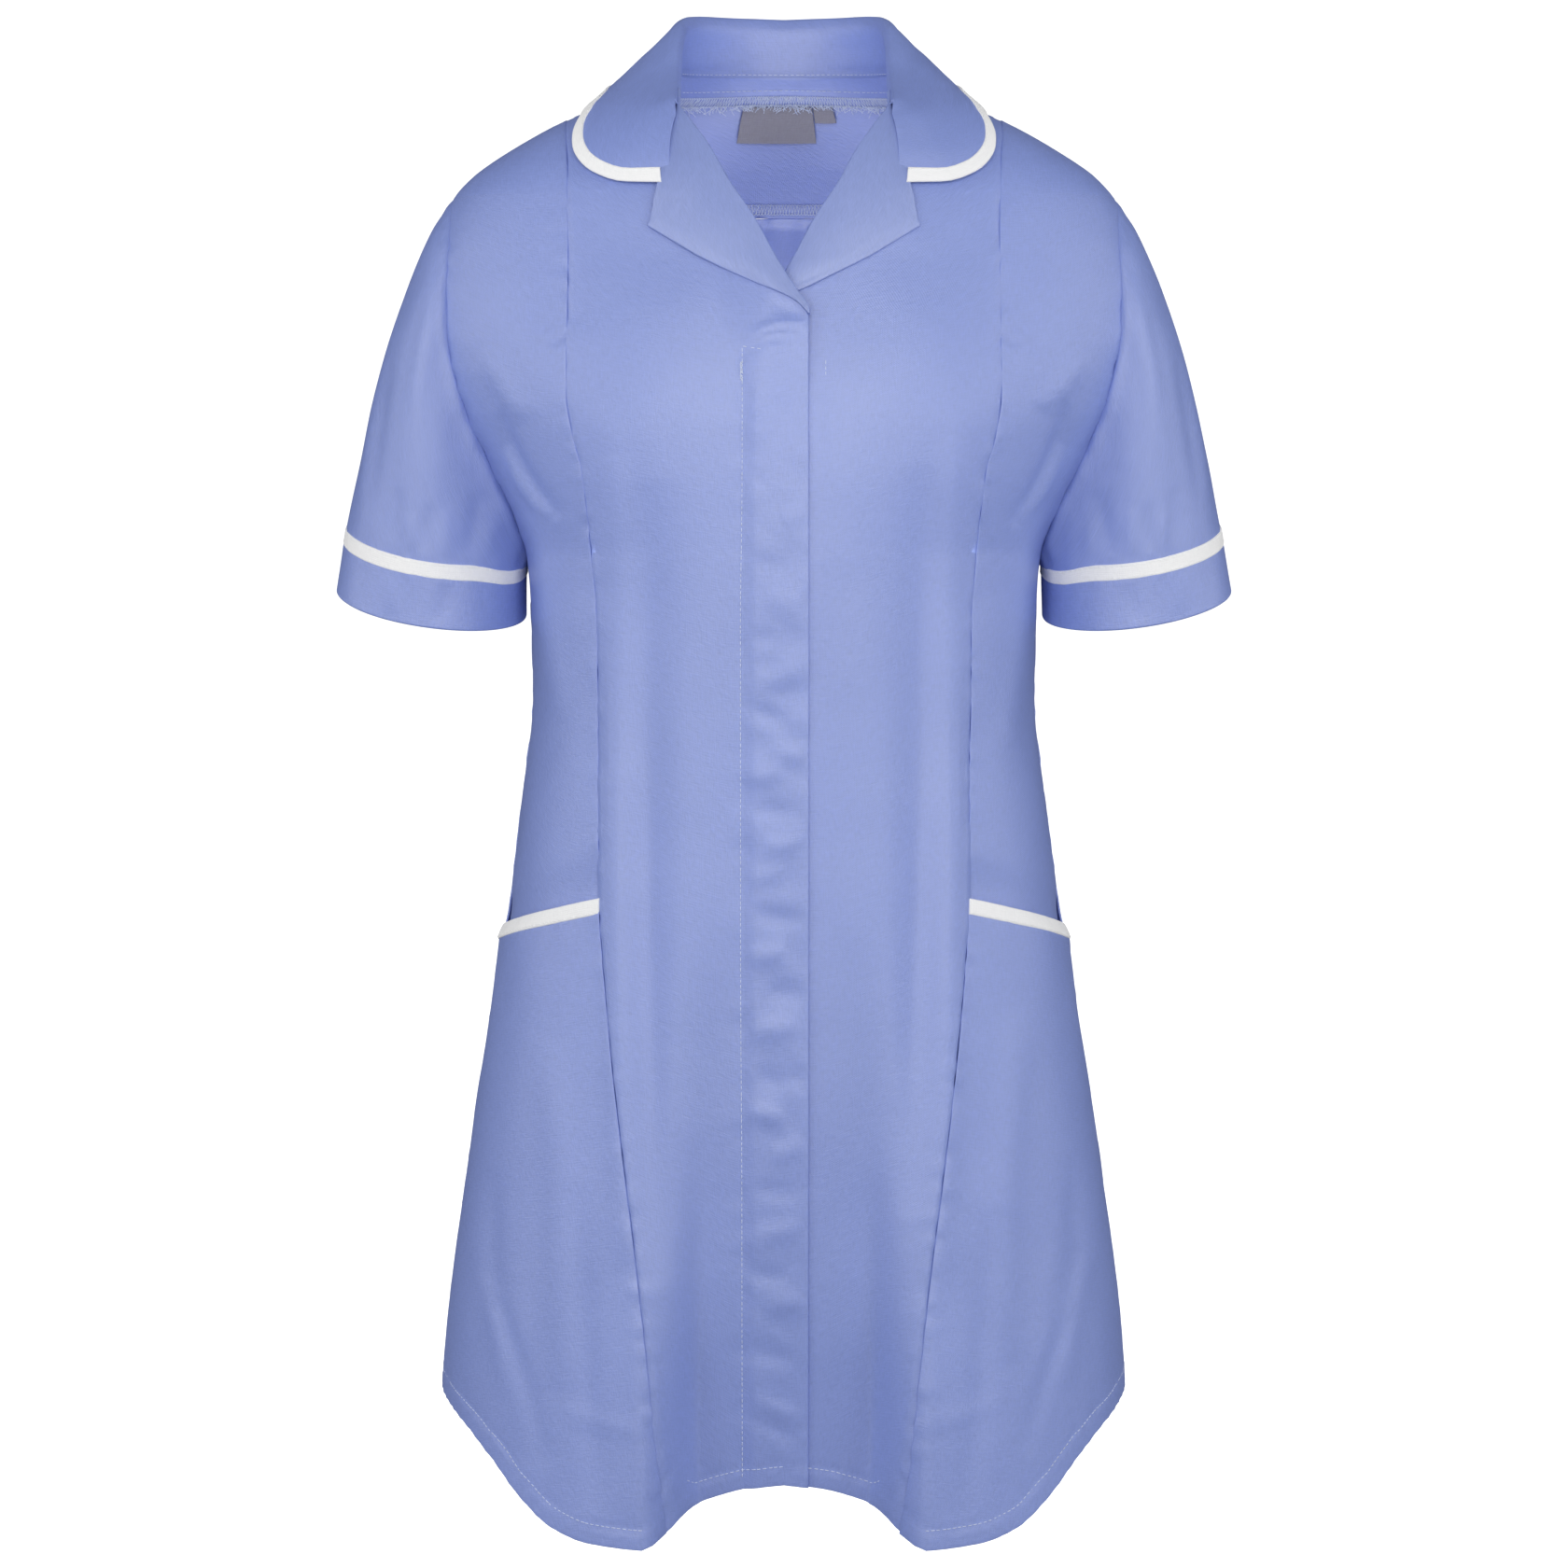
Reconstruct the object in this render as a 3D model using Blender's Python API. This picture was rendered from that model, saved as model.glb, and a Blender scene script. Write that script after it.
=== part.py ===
"""Maternity tunic, short sleeved, filled out as if worn by nobody.

Every piece of cloth is a thin closed wall laid on one hollow body form. The form is a stack of rounded
sections, and a point on it is given by its turn (0 at the front centre, a quarter turn at the side seam,
half a turn at the back centre) and its height. All sizes are in millimetres and are scaled to metres
when a mesh is made. +Z is up, -Y is the front, and +X is the wearer's left. The origin lies between the
shoulders, at the height where the collar meets the back yoke.
"""
import bpy
import bmesh
import numpy as np

MM = 0.001
QUARTER = np.pi / 2
HALF = np.pi

# cloth
WALL = 1.2
SEAM_GAP = 0.3
HALF_GAP = 0.18
LAYER = 1.7
SECTION_ROUNDNESS = 2.3

# heights of the main seams
NECK_SIDE_Z = -3.7
FRONT_TOP_Z = -5.6
PRINCESS_TOP_Z = -30.6
ARMHOLE_MIDDLE_Z = -180.0
ARMHOLE_HALF_HEIGHT = 104.0
ARMHOLE_FRONT_DEPTH = 50.0
ARMHOLE_BACK_DEPTH = 54.0
ARMHOLE_ROUNDNESS = 2.4
UNDERARM_Z = ARMHOLE_MIDDLE_Z - ARMHOLE_HALF_HEIGHT
YOKE_SEAM_Z = -81.0
LOWEST_Z = -850.0
HEM_CURVE_START_Z = -560.0

# soft shaping: the bust, and the waves that open round the back towards the hem
BUST_TURN = 38.0
BUST_SPREAD = 20.0
BUST_Z = -195.0
BUST_HEIGHT = 55.0
BUST_RISE = 4.0
WAVES_ROUND_BACK = 3
WAVE_RISE = 5.0
WAVES_START_Z = -450.0

# closure, pockets, pleat and bindings
LAP = 14.0
FLY_WIDTH = 38.0
BREAK_Z = -150.0
LEFT_LAPEL_END_Z = -131.0
LAPEL_LIFT = 2.1
LAPEL_BULGE = 1.6
GORGE_GAP = 1.0
GORGE_LIFT = 1.0
FLY_LIFT = 2.2
BREAK_LIFT = 5.4
BREAK_REACH = 45.0
FLY_SLOPE = 9.0
POCKET_BAG_Z = -640.0
POCKET_STAND = 3.4
POCKET_SETTLE = 60.0
POCKET_OPENS_OVER = 0.45
BAG_DEPTH = 2.3
BINDING_WIDTH = 9.5
BINDING_WALL = 1.8
CUFF_WIDTH = 29.0
CUFF_WALL = 2.0
SHORT_SEAM = 60.0
SHORT_SEAM_SHARE = 0.86
PLEAT_HALF_WIDTH = 14.0
PLEAT_LIFT = 2.4
PLEAT_SPREAD = 16.0
NECK_STRIP_WIDTH = 12.5
NECK_STRIP_DROP = 2.2
NECK_STRIP_WALL = 1.0
INSIDE_GAP = 0.75
LABEL_SIZE = (41.5, 21.0)
LABEL_MIDDLE_X = -4.0
SIZE_TAB_SIZE = (12.6, 9.0)
LABEL_WALL = 1.0
COLLAR_ROLL = 3.2
COLLAR_END_ROLL = 1.1
FALL_BULGE = 1.5

BLUE = (0.29, 0.37, 0.68)
BLUE_LAPEL = (0.31, 0.38, 0.69)
WHITE = (0.74, 0.76, 0.84)
TAUPE = (0.26, 0.26, 0.29)

# how far each column lies across a panel, closer together where the cloth turns sharply
FRONT_SHARES = [0, 0.13, 0.24, 0.33, 0.47, 0.64, 0.79, 0.89, 0.95, 1.0]
SIDE_SHARES = [0, 0.05, 0.12, 0.25, 0.4, 0.55, 0.7, 0.85, 1.0]
BACK_SHARES = [0, 0.12, 0.27, 0.43, 0.58, 0.7, 0.78, 0.84, 0.885, 1.0]
YOKE_SHARES = [0, 0.06, 0.14, 0.24, 0.36, 0.52, 0.68, 0.84, 1.0]
COLLAR_SHARES = [0, 0.1, 0.2, 0.3, 0.4, 0.5, 0.6, 0.7, 0.78, 0.84, 0.89, 0.93, 0.965, 1.0]
LAPEL_SHARES = [0, 0.12, 0.24, 0.35, 0.48, 0.6, 0.73, 0.85, 1.0]
POCKET_ROWS = 15
SLEEVE_ROWS = 10
SLEEVE_COLUMNS = 24


def table(names, *rows):
    """A table with a name for each column."""
    values = np.array(rows, float)
    return {name: values[:, i] for i, name in enumerate(names.split())}


# sections of the body form: half width at the side seams, and depth in front of and behind them
BODY = table(
    "height half_width front back",
    (0.0, 57.0, 40.0, 62.0),
    (-3.7, 64.5, 44.0, 65.0),
    (-13.0, 85.0, 52.0, 72.0),
    (-22.0, 107.0, 59.0, 78.0),
    (-30.6, 128.0, 66.0, 82.5),
    (-41.8, 149.7, 73.0, 87.5),
    (-53.0, 168.0, 79.0, 92.0),
    (-64.0, 183.0, 84.0, 95.5),
    (-76.0, 194.0, 88.5, 99.0),
    (-92.0, 201.5, 93.5, 103.0),
    (-108.0, 206.5, 98.0, 106.0),
    (-136.0, 210.5, 106.0, 109.0),
    (-156.0, 210.0, 111.0, 110.5),
    (-174.0, 206.0, 115.0, 111.0),
    (-190.0, 200.0, 118.0, 111.0),
    (-203.0, 194.0, 120.0, 110.5),
    (-225.0, 181.0, 122.0, 109.5),
    (-241.0, 172.0, 123.0, 108.0),
    (-261.0, 161.0, 123.5, 105.5),
    (-284.0, 151.4, 124.0, 102.5),
    (-312.0, 148.6, 124.5, 99.0),
    (-368.0, 147.8, 125.5, 95.0),
    (-435.0, 155.4, 128.0, 97.0),
    (-480.0, 161.3, 131.0, 102.0),
    (-524.0, 168.3, 134.0, 107.5),
    (-569.0, 175.5, 137.5, 113.0),
    (-613.0, 183.0, 141.0, 118.5),
    (-658.0, 190.0, 144.5, 124.0),
    (-703.0, 196.5, 148.0, 129.0),
    (-747.0, 201.4, 151.5, 134.0),
    (-780.0, 203.6, 153.5, 137.5),
    (-850.0, 206.0, 157.0, 142.0),
)

# the broad hollow down the front centre: its depth, and the turns where its flank starts and ends
VALLEY = table(
    "height depth inner_turn outer_turn",
    (-284.0, 0.0, 8.0, 46.0),
    (-430.0, 3.0, 10.0, 43.0),
    (-560.0, 9.0, 14.0, 38.0),
    (-690.0, 21.0, 19.5, 32.5),
    (-770.0, 34.0, 22.5, 30.0),
    (-850.0, 48.0, 24.2, 28.6),
)

# the princess seam: its distance from the centre plane
PRINCESS = table(
    "height across",
    (-30.6, 127.0),
    (-67.0, 124.2),
    (-110.0, 123.3),
    (-192.0, 123.7),
    (-215.0, 120.2),
    (-236.0, 115.0),
    (-283.0, 110.0),
    (-325.0, 107.0),
    (-488.0, 105.2),
    (-525.0, 102.3),
    (-590.0, 95.5),
    (-682.0, 84.7),
    (-729.0, 79.3),
    (-788.0, 73.4),
    (-817.0, 70.0),
    (-850.0, 65.5),
)

# the opened front edge: neckline down to the top of the gorge, then the roll line down to the break
NECKLINE = table("height turn", (-3.7, 90.0), (-7.0, 78.0), (-14.0, 63.0), (-26.0, 47.2))
ROLL_LINE = table(
    "height across",
    (-26.0, 60.9),
    (-37.7, 52.1),
    (-50.8, 42.9),
    (-70.2, 32.2),
    (-91.6, 18.3),
    (-118.3, 4.0),
    (-134.7, -6.6),
    (-144.0, -13.0),
    (-150.0, -14.0),
)

# the hem: its height at each turn round the body
HEM = table(
    "turn height",
    (0.0, -817.0),
    (10.4, -819.5),
    (21.3, -826.0),
    (24.7, -829.8),
    (26.1, -835.7),
    (27.0, -843.5),
    (28.4, -847.3),
    (38.6, -845.5),
    (46.0, -839.0),
    (52.4, -825.0),
    (60.4, -803.5),
    (67.5, -790.5),
    (79.2, -781.0),
    (90.0, -778.5),
    (101.0, -781.0),
    (112.0, -790.0),
    (124.0, -808.0),
    (138.0, -824.0),
    (158.0, -833.0),
    (180.0, -835.0),
)

# the pocket mouth, from the princess seam back to the side seam
POCKET_MOUTH = table(
    "turn height",
    (38.0, -475.5),
    (44.3, -478.5),
    (59.7, -488.3),
    (78.6, -500.0),
    (90.0, -505.0),
)

# the lapel: its free edge from the gorge round the tip and back to the break
LAPEL_EDGE = table(
    "way across height",
    (0.0, 69.0, -73.6),
    (0.18, 71.9, -85.0),
    (0.35, 77.7, -96.1),
    (0.6, 49.5, -113.4),
    (0.85, 14.5, -131.0),
    (1.0, -6.5, -140.0),
)

# the collar, from the back centre (way 0) to the gorge (way 1): the neck seam's turn, the fold's place
# and the free edge's turn, height and lift off the shoulder
COLLAR = table(
    "way neck_turn fold_x fold_y fold_z edge_turn edge_height edge_lift",
    (0.00, 180.0, 0.0, 71.0, 35.0, 180.0, -24.0, 5.0),
    (0.15, 160.0, 26.0, 67.0, 35.5, 160.0, -22.0, 5.0),
    (0.30, 137.0, 46.0, 52.0, 35.0, 137.0, -18.0, 5.5),
    (0.45, 113.0, 58.5, 32.0, 33.0, 112.0, -17.0, 6.0),
    (0.58, 92.0, 64.0, 12.0, 26.5, 92.0, -20.5, 5.5),
    (0.68, 78.0, 65.5, -8.0, 12.0, 79.0, -24.5, 5.0),
    (0.76, 70.0, 65.5, -22.0, -0.5, 71.2, -33.4, 4.8),
    (0.83, 64.0, 64.8, -34.0, -8.5, 66.2, -45.5, 4.6),
    (0.885, 58.5, 64.3, -42.5, -13.5, 61.4, -57.1, 4.4),
    (0.93, 54.0, 64.0, -49.0, -17.0, 55.5, -66.8, 4.2),
    (0.965, 50.5, 63.8, -54.5, -19.8, 48.5, -71.9, 4.0),
    (1.00, 47.2, 63.4, -60.0, -22.5, 39.7, -72.4, 3.8),
)

# the sleeve: its opening's middle, the reach of that opening outward and to the front, and how its
# lengthwise lines leave the armhole and arrive at the cuff, at the top, the underarm and the two sides
SLEEVE_END = np.array([209.2, 0.0, -313.5])
SLEEVE_END_OUT = np.array([55.4, 0.0, 8.0])
SLEEVE_END_FRONT = np.array([0.0, -50.0, -12.5])
LEAVE_TOP = np.array([33.5, 0.0, -48.0])
LEAVE_UNDERARM = np.array([1.0, 0.0, -12.0])
LEAVE_FRONT = np.array([8.0, -9.0, -14.0])
LEAVE_BACK = np.array([8.0, 9.0, -14.0])
ARRIVE_TOP = np.array([-13.0, 0.0, 80.0])
ARRIVE_UNDERARM = np.array([0.0, 0.0, 12.0])


def smooth(x, knots, values):
    """A curve through the knots that never overshoots them."""
    order = np.argsort(knots)
    knots = np.asarray(knots)[order]
    values = np.asarray(values)[order]
    step = np.diff(knots)
    rise = np.diff(values) / step
    slope = np.zeros(len(knots))
    slope[0] = rise[0]
    slope[-1] = rise[-1]
    same = rise[:-1] * rise[1:] > 0
    slope[1:-1][same] = (2 * rise[:-1] * rise[1:])[same] / (rise[:-1] + rise[1:])[same]
    x = np.clip(np.asarray(x, float), knots[0], knots[-1])
    i = np.clip(np.searchsorted(knots, x) - 1, 0, len(step) - 1)
    t = (x - knots[i]) / step[i]
    start = (1 + 2 * t) * (1 - t) ** 2 * values[i] + t * (1 - t) ** 2 * step[i] * slope[i]
    end = t * t * (3 - 2 * t) * values[i + 1] - t * t * (1 - t) * step[i] * slope[i + 1]
    return start + end


def ease(x, start, end):
    """0 at the start, 1 at the end, with a soft S between them."""
    t = np.clip((x - start) / (end - start), 0, 1)
    return t * t * (3 - 2 * t)


def column(source, name, height):
    return smooth(height, source["height"], source[name])


def body_point(turn, z):
    """The middle of the cloth on the body form, for one half of the body."""
    turn = np.asarray(turn, float)
    z = np.asarray(z, float)
    width = column(BODY, "half_width", z)
    depth = np.where(np.cos(turn) > 0, column(BODY, "front", z), column(BODY, "back", z))
    power = SECTION_ROUNDNESS
    radius = (np.abs(np.sin(turn) / width) ** power + np.abs(np.cos(turn) / depth) ** power) ** (-1 / power)
    degrees = np.degrees(np.abs(turn))
    inner = column(VALLEY, "inner_turn", z)
    outer = column(VALLEY, "outer_turn", z)
    radius = radius - column(VALLEY, "depth", z) * (1 - ease(degrees, inner, outer))
    bust = np.exp(-((degrees - BUST_TURN) / BUST_SPREAD) ** 2 - ((z - BUST_Z) / BUST_HEIGHT) ** 2)
    waves = np.cos(2 * WAVES_ROUND_BACK * np.radians(180 - degrees))
    waves = waves * ease(degrees, 95, 130) * ease(z, WAVES_START_Z, LOWEST_Z)
    radius = radius + BUST_RISE * bust + WAVE_RISE * waves
    return np.stack([radius * np.sin(turn), -radius * np.cos(turn), z + 0 * turn], axis=-1)


def body_normal(turn, z):
    """The unit vector that points out of the body form."""
    across = body_point(turn + 0.004, z) - body_point(turn - 0.004, z)
    up = body_point(turn, z + 0.6) - body_point(turn, z - 0.6)
    normal = np.cross(across, up)
    return normal / np.linalg.norm(normal, axis=-1, keepdims=True)


def on_body(turn, z, lift=0.0):
    """A point that is lifted off the body form by the given distance."""
    turn, z, lift = np.broadcast_arrays(turn, z, lift)
    return body_point(turn, z) + body_normal(turn, z) * lift[..., None]


def turn_at(across, z):
    """The turn at which the front of the body form lies this far from the centre plane."""
    across, z = np.broadcast_arrays(np.asarray(across, float), np.asarray(z, float))
    low = np.full(across.shape, -0.5)
    high = np.full(across.shape, QUARTER)
    for _ in range(40):
        middle = (low + high) / 2
        beyond = body_point(middle, z)[..., 0] > across
        high = np.where(beyond, middle, high)
        low = np.where(beyond, low, middle)
    return (low + high) / 2


def gap_turn(turn, z):
    """Half a seam gap, as a turn at this place."""
    return HALF_GAP / np.linalg.norm(body_point(turn, z)[..., :2], axis=-1)


def armhole_depth(z, depth):
    share = np.clip(np.abs(z - ARMHOLE_MIDDLE_Z) / ARMHOLE_HALF_HEIGHT, 0, 1)
    narrower_below = 1 - 0.16 * (1 - ease(z, -245, -175))
    return depth * narrower_below * (1 - share ** ARMHOLE_ROUNDNESS) ** (1 / ARMHOLE_ROUNDNESS)


def armhole_height(rise):
    """The height on the armhole's edge, from rise 1 at its top to rise -1 at the underarm."""
    return ARMHOLE_MIDDLE_Z + ARMHOLE_HALF_HEIGHT * np.sign(rise) * np.abs(rise) ** (2 / ARMHOLE_ROUNDNESS)


def armhole_turn(z, back=False):
    """The turn of the armhole's edge at this height, a quarter turn above and below the armhole."""
    depth = armhole_depth(z, ARMHOLE_BACK_DEPTH if back else ARMHOLE_FRONT_DEPTH)
    low = np.zeros_like(z)
    high = np.full_like(z, QUARTER)
    for _ in range(40):
        middle = (low + high) / 2
        turn = HALF - middle if back else middle
        deeper = np.abs(body_point(turn, z)[..., 1]) > depth
        low = np.where(deeper, middle, low)
        high = np.where(deeper, high, middle)
    return HALF - low if back else low


def princess_turn(z):
    return np.where(z > PRINCESS_TOP_Z, QUARTER, turn_at(column(PRINCESS, "across", z), z))


def front_edge_turn(z):
    """The open edge of a front: neckline, roll line, then straight down at the lap."""
    neck = np.radians(column(NECKLINE, "turn", z))
    roll = turn_at(column(ROLL_LINE, "across", z), z)
    return np.where(z > NECKLINE["height"][-1], neck, roll)


def hem_height(turn):
    return smooth(np.degrees(np.abs(turn)), HEM["turn"], HEM["height"])


def fly_lift(turn, z, reach=1.0):
    """How far the right front stands off over the left one where it laps."""
    across = body_point(turn, z)[..., 0]
    near_break = ease(z, BREAK_Z - BREAK_REACH, BREAK_Z)
    full = FLY_LIFT + (BREAK_LIFT - FLY_LIFT) * near_break
    stitch_line = FLY_WIDTH - LAP
    start = stitch_line - FLY_SLOPE - 10 * near_break
    end = stitch_line + 16 * near_break
    return reach * full * (1 - ease(across, start, end))


def pocket_mouth(turn):
    return smooth(np.degrees(turn), POCKET_MOUTH["turn"], POCKET_MOUTH["height"])


def make_material(name, colour, roughness):
    material = bpy.data.materials.new(name)
    material.use_nodes = True
    shader = material.node_tree.nodes["Principled BSDF"]
    shader.inputs["Base Color"].default_value = (*colour, 1.0)
    shader.inputs["Roughness"].default_value = roughness
    shader.inputs["Metallic"].default_value = 0.0
    return material


def make_object(name, vertices, faces, colour):
    """A closed, outward-facing mesh object from points in millimetres."""
    mesh = bpy.data.meshes.new(name)
    mesh.from_pydata((np.asarray(vertices) * MM).tolist(), [], faces)
    work = bmesh.new()
    work.from_mesh(mesh)
    bmesh.ops.recalc_face_normals(work, faces=work.faces)
    work.to_mesh(mesh)
    work.free()
    mesh.shade_smooth()
    mesh.set_sharp_from_angle(angle=np.radians(50))
    mesh.materials.append(make_material(name, colour, 0.85))
    obj = bpy.data.objects.new(name, mesh)
    bpy.context.scene.collection.objects.link(obj)
    return obj


def grid_normals(grid, ring):
    """Unit normals of a grid of points; the columns of a ring join up."""
    down = np.gradient(grid, axis=0)
    if ring:
        along = np.roll(grid, -1, axis=1) - np.roll(grid, 1, axis=1)
    else:
        along = np.gradient(grid, axis=1)
    normal = np.cross(along, down)
    return normal / np.linalg.norm(normal, axis=-1, keepdims=True)


def make_wall(name, grid, colour, thickness=WALL, ring=False, side=1, normals=None):
    """A cloth wall of even thickness about a grid of points, closed all round its edges."""
    grid = np.array(grid, float)
    rows, columns = grid.shape[:2]
    if normals is None:
        normals = grid_normals(grid, ring)
    shift = normals * thickness / 2
    points = np.concatenate([(grid + shift).reshape(-1, 3), (grid - shift).reshape(-1, 3)])
    points[:, 0] *= side
    under = rows * columns
    index = np.arange(under).reshape(rows, columns)
    if ring:
        index = np.concatenate([index, index[:, :1]], axis=1)
    faces = []
    for r in range(rows - 1):
        for c in range(index.shape[1] - 1):
            a, b, c2, d = index[r, c], index[r, c + 1], index[r + 1, c + 1], index[r + 1, c]
            faces.append((a, b, c2, d))
            faces.append((d + under, c2 + under, b + under, a + under))
    edges = [index[0], index[-1][::-1]]
    if not ring:
        edges.append(index[:, 0][::-1])
        edges.append(index[:, -1])
    for edge in edges:
        for a, b in zip(edge[:-1], edge[1:]):
            faces.append((b, a, a + under, b + under))
    return make_object(name, points, faces, colour)


def make_panel(name, turn, z, lift, colour, thickness=WALL, side=1):
    """A wall laid on the body form. Side is 1 or -1, or both in an array for a piece across the centre."""
    turn, z, lift, side = np.broadcast_arrays(turn, z, lift, side)
    across = np.stack([side, np.ones(side.shape), np.ones(side.shape)], axis=-1)
    points = on_body(turn, z, lift) * across
    make_wall(name, points, colour, thickness, normals=body_normal(turn, z) * across)


def body_heights(top, bottom):
    """Heights of the rows between two levels, the same for each panel so that their seams match."""
    shoulder = [FRONT_TOP_Z, -14.0, -26.0, PRINCESS_TOP_Z + SEAM_GAP, PRINCESS_TOP_Z - SEAM_GAP]
    shoulder = shoulder + [-34.0, -41.8, -53.0, -64.0]
    swing = np.cos(np.radians(np.arange(0, 181, 18)))
    armhole = armhole_height(swing)
    skirt = np.linspace(UNDERARM_Z, LOWEST_Z, 17)[1:]
    heights = np.concatenate([shoulder, armhole, skirt])
    inside = heights[(heights < top - 0.2) & (heights > bottom + 1.5)]
    return np.concatenate([[top], inside, [bottom]])[:, None]


def body_panel(level, shares, inner, outer):
    """Turns and heights of a panel between two seams, with the hem's curve worked into its low rows."""
    share = np.asarray(shares)[None, :]
    z = level + 0 * share
    for _ in range(8):
        turn = inner(z) + (outer(z) - inner(z)) * share
        z = level + (hem_height(turn) - LOWEST_Z) * ease(level, HEM_CURVE_START_Z, LOWEST_Z)
    return turn, z


def make_front(name, side, reach):
    """One front, from its open edge to the princess seam."""

    def inner(z):
        turn = front_edge_turn(z)
        return turn + gap_turn(turn, z)

    def outer(z):
        turn = princess_turn(z)
        return turn - gap_turn(turn, z)

    turn, z = body_panel(body_heights(FRONT_TOP_Z, LOWEST_Z), FRONT_SHARES, inner, outer)
    make_panel(name, turn, z, fly_lift(turn, z, reach), BLUE, side=side)


def side_outer(z):
    turn = armhole_turn(z)
    return turn - gap_turn(turn, z)


def side_inner(z):
    turn = princess_turn(z)
    return turn + gap_turn(turn, z)


def make_side_front(name, side):
    """The side front, which runs on behind the pocket as the pocket's bag."""
    level = body_heights(PRINCESS_TOP_Z - SEAM_GAP, POCKET_BAG_Z)
    turn, z = body_panel(level, SIDE_SHARES, side_inner, side_outer)
    mouth = pocket_mouth(turn)
    behind = 1 - ease(z, mouth + 4, mouth + 30)
    make_panel(name, turn, z, -BAG_DEPTH * behind, BLUE, side=side)


def pocket_lift(turn, z):
    """The pocket stands off under its mouth, most of all at the side."""
    start = side_inner(z)
    below_mouth = np.clip(pocket_mouth(turn) - z, 0, None)
    fade = ease(below_mouth, -4, BINDING_WIDTH) * np.exp(-below_mouth / POCKET_SETTLE)
    return POCKET_STAND * fade * ease(turn, start, start + POCKET_OPENS_OVER)


def mouth_rows(*drops):
    """Rows across the pocket, each at one distance under the mouth's edge."""
    share = np.asarray(SIDE_SHARES)[None, :]
    drop = np.array(drops)[:, None]
    z = POCKET_MOUTH["height"][0] - drop + 0 * share
    for _ in range(6):
        turn = side_inner(z) + (side_outer(z) - side_inner(z)) * share
        z = pocket_mouth(turn) - drop
    return turn, z


def make_pocket(name, side):
    """The pocket front, from under its binding down to the hem."""
    top = mouth_rows(BINDING_WIDTH + SEAM_GAP)[1]
    level = top + (LOWEST_Z - top) * np.linspace(0, 1, POCKET_ROWS)[:, None]
    turn, z = body_panel(level, SIDE_SHARES, side_inner, side_outer)
    make_panel(name, turn, z, pocket_lift(turn, z), BLUE, side=side)


def make_pocket_binding(name, side):
    turn, z = mouth_rows(0.0, BINDING_WIDTH)
    make_panel(name, turn, z, pocket_lift(turn, z) + 0.3, WHITE, BINDING_WALL, side)


def mirrored(values):
    """Shares from one edge to the middle, then on to the other edge."""
    values = np.asarray(values, float)
    return np.concatenate([values, 2 - values[-2::-1]])


def neck_seam_height(turn):
    return NECK_SIDE_Z * np.sin(turn) ** 2 - 0.2


def back_edge_turn(z):
    turn = armhole_turn(z, back=True)
    return turn + gap_turn(turn, z)


def make_yoke():
    """The back yoke, from the neck to the yoke seam, and out to the shoulder seams."""
    share = mirrored(BACK_SHARES)[None, :]
    half = np.minimum(share, 2 - share)
    fall = np.array(YOKE_SHARES)[:, None]
    turn = QUARTER + QUARTER * half + 0 * fall
    for _ in range(6):
        top = neck_seam_height(turn) - 1.0
        z = top + (YOKE_SEAM_Z + HALF_GAP - top) * fall
        edge = back_edge_turn(z)
        turn = edge + (HALF - edge) * half
    make_panel("back_yoke", turn, z, 0.0, BLUE, side=np.where(share > 1, -1, 1))


def pleat_lift(turn, z):
    """The box pleat stands off flat under the yoke and opens out softly towards the hem."""
    across = body_point(turn, z)[..., 0]
    spread = 1 - ease(z, LOWEST_Z, YOKE_SEAM_Z)
    half_width = PLEAT_HALF_WIDTH + PLEAT_SPREAD * spread
    leave_seam = ease(z, YOKE_SEAM_Z - 1, YOKE_SEAM_Z - 7)
    return PLEAT_LIFT * leave_seam * (1 - ease(across, half_width, half_width + 3 + 22 * spread))


def make_back():
    """The back, from the yoke seam to the hem, with its box pleat at the centre."""
    share = mirrored(BACK_SHARES)
    half = np.minimum(share, 2 - share)
    level = body_heights(YOKE_SEAM_Z - HALF_GAP, LOWEST_Z)
    turn, z = body_panel(level, half, back_edge_turn, lambda z: HALF)
    make_panel("back", turn, z, pleat_lift(turn, z), BLUE, side=np.where(share > 1, -1, 1))


def armhole_ring(swing):
    """Points round the armhole: swing 0 at the shoulder, a quarter turn at the front, half at the underarm."""
    rise = np.cos(swing)
    z = armhole_height(rise)
    turn = np.where(np.sin(swing) >= 0, armhole_turn(z), armhole_turn(z, back=True))
    return on_body(turn, z, WALL + SEAM_GAP)


def sleeve_point(swing, way):
    """The sleeve's middle surface: way 0 at the armhole, way 1 at the cuff's edge."""
    start = armhole_ring(swing)
    out = np.cos(swing)[..., None]
    front = np.sin(swing)[..., None]
    end = SLEEVE_END + SLEEVE_END_OUT * out + SLEEVE_END_FRONT * front
    top = (1 + out) / 2
    leave = LEAVE_TOP * top ** 1.5 + LEAVE_UNDERARM * (1 - top)
    leave = leave + LEAVE_FRONT * np.maximum(front, 0) + LEAVE_BACK * np.maximum(-front, 0)
    arrive = ARRIVE_TOP * top ** 1.5 + ARRIVE_UNDERARM * (1 - top)
    first = start + leave
    last = end + arrive
    t = np.asarray(way)[..., None]
    rest = 1 - t
    return rest ** 3 * start + 3 * rest ** 2 * t * first + 3 * rest * t ** 2 * last + t ** 3 * end


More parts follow.
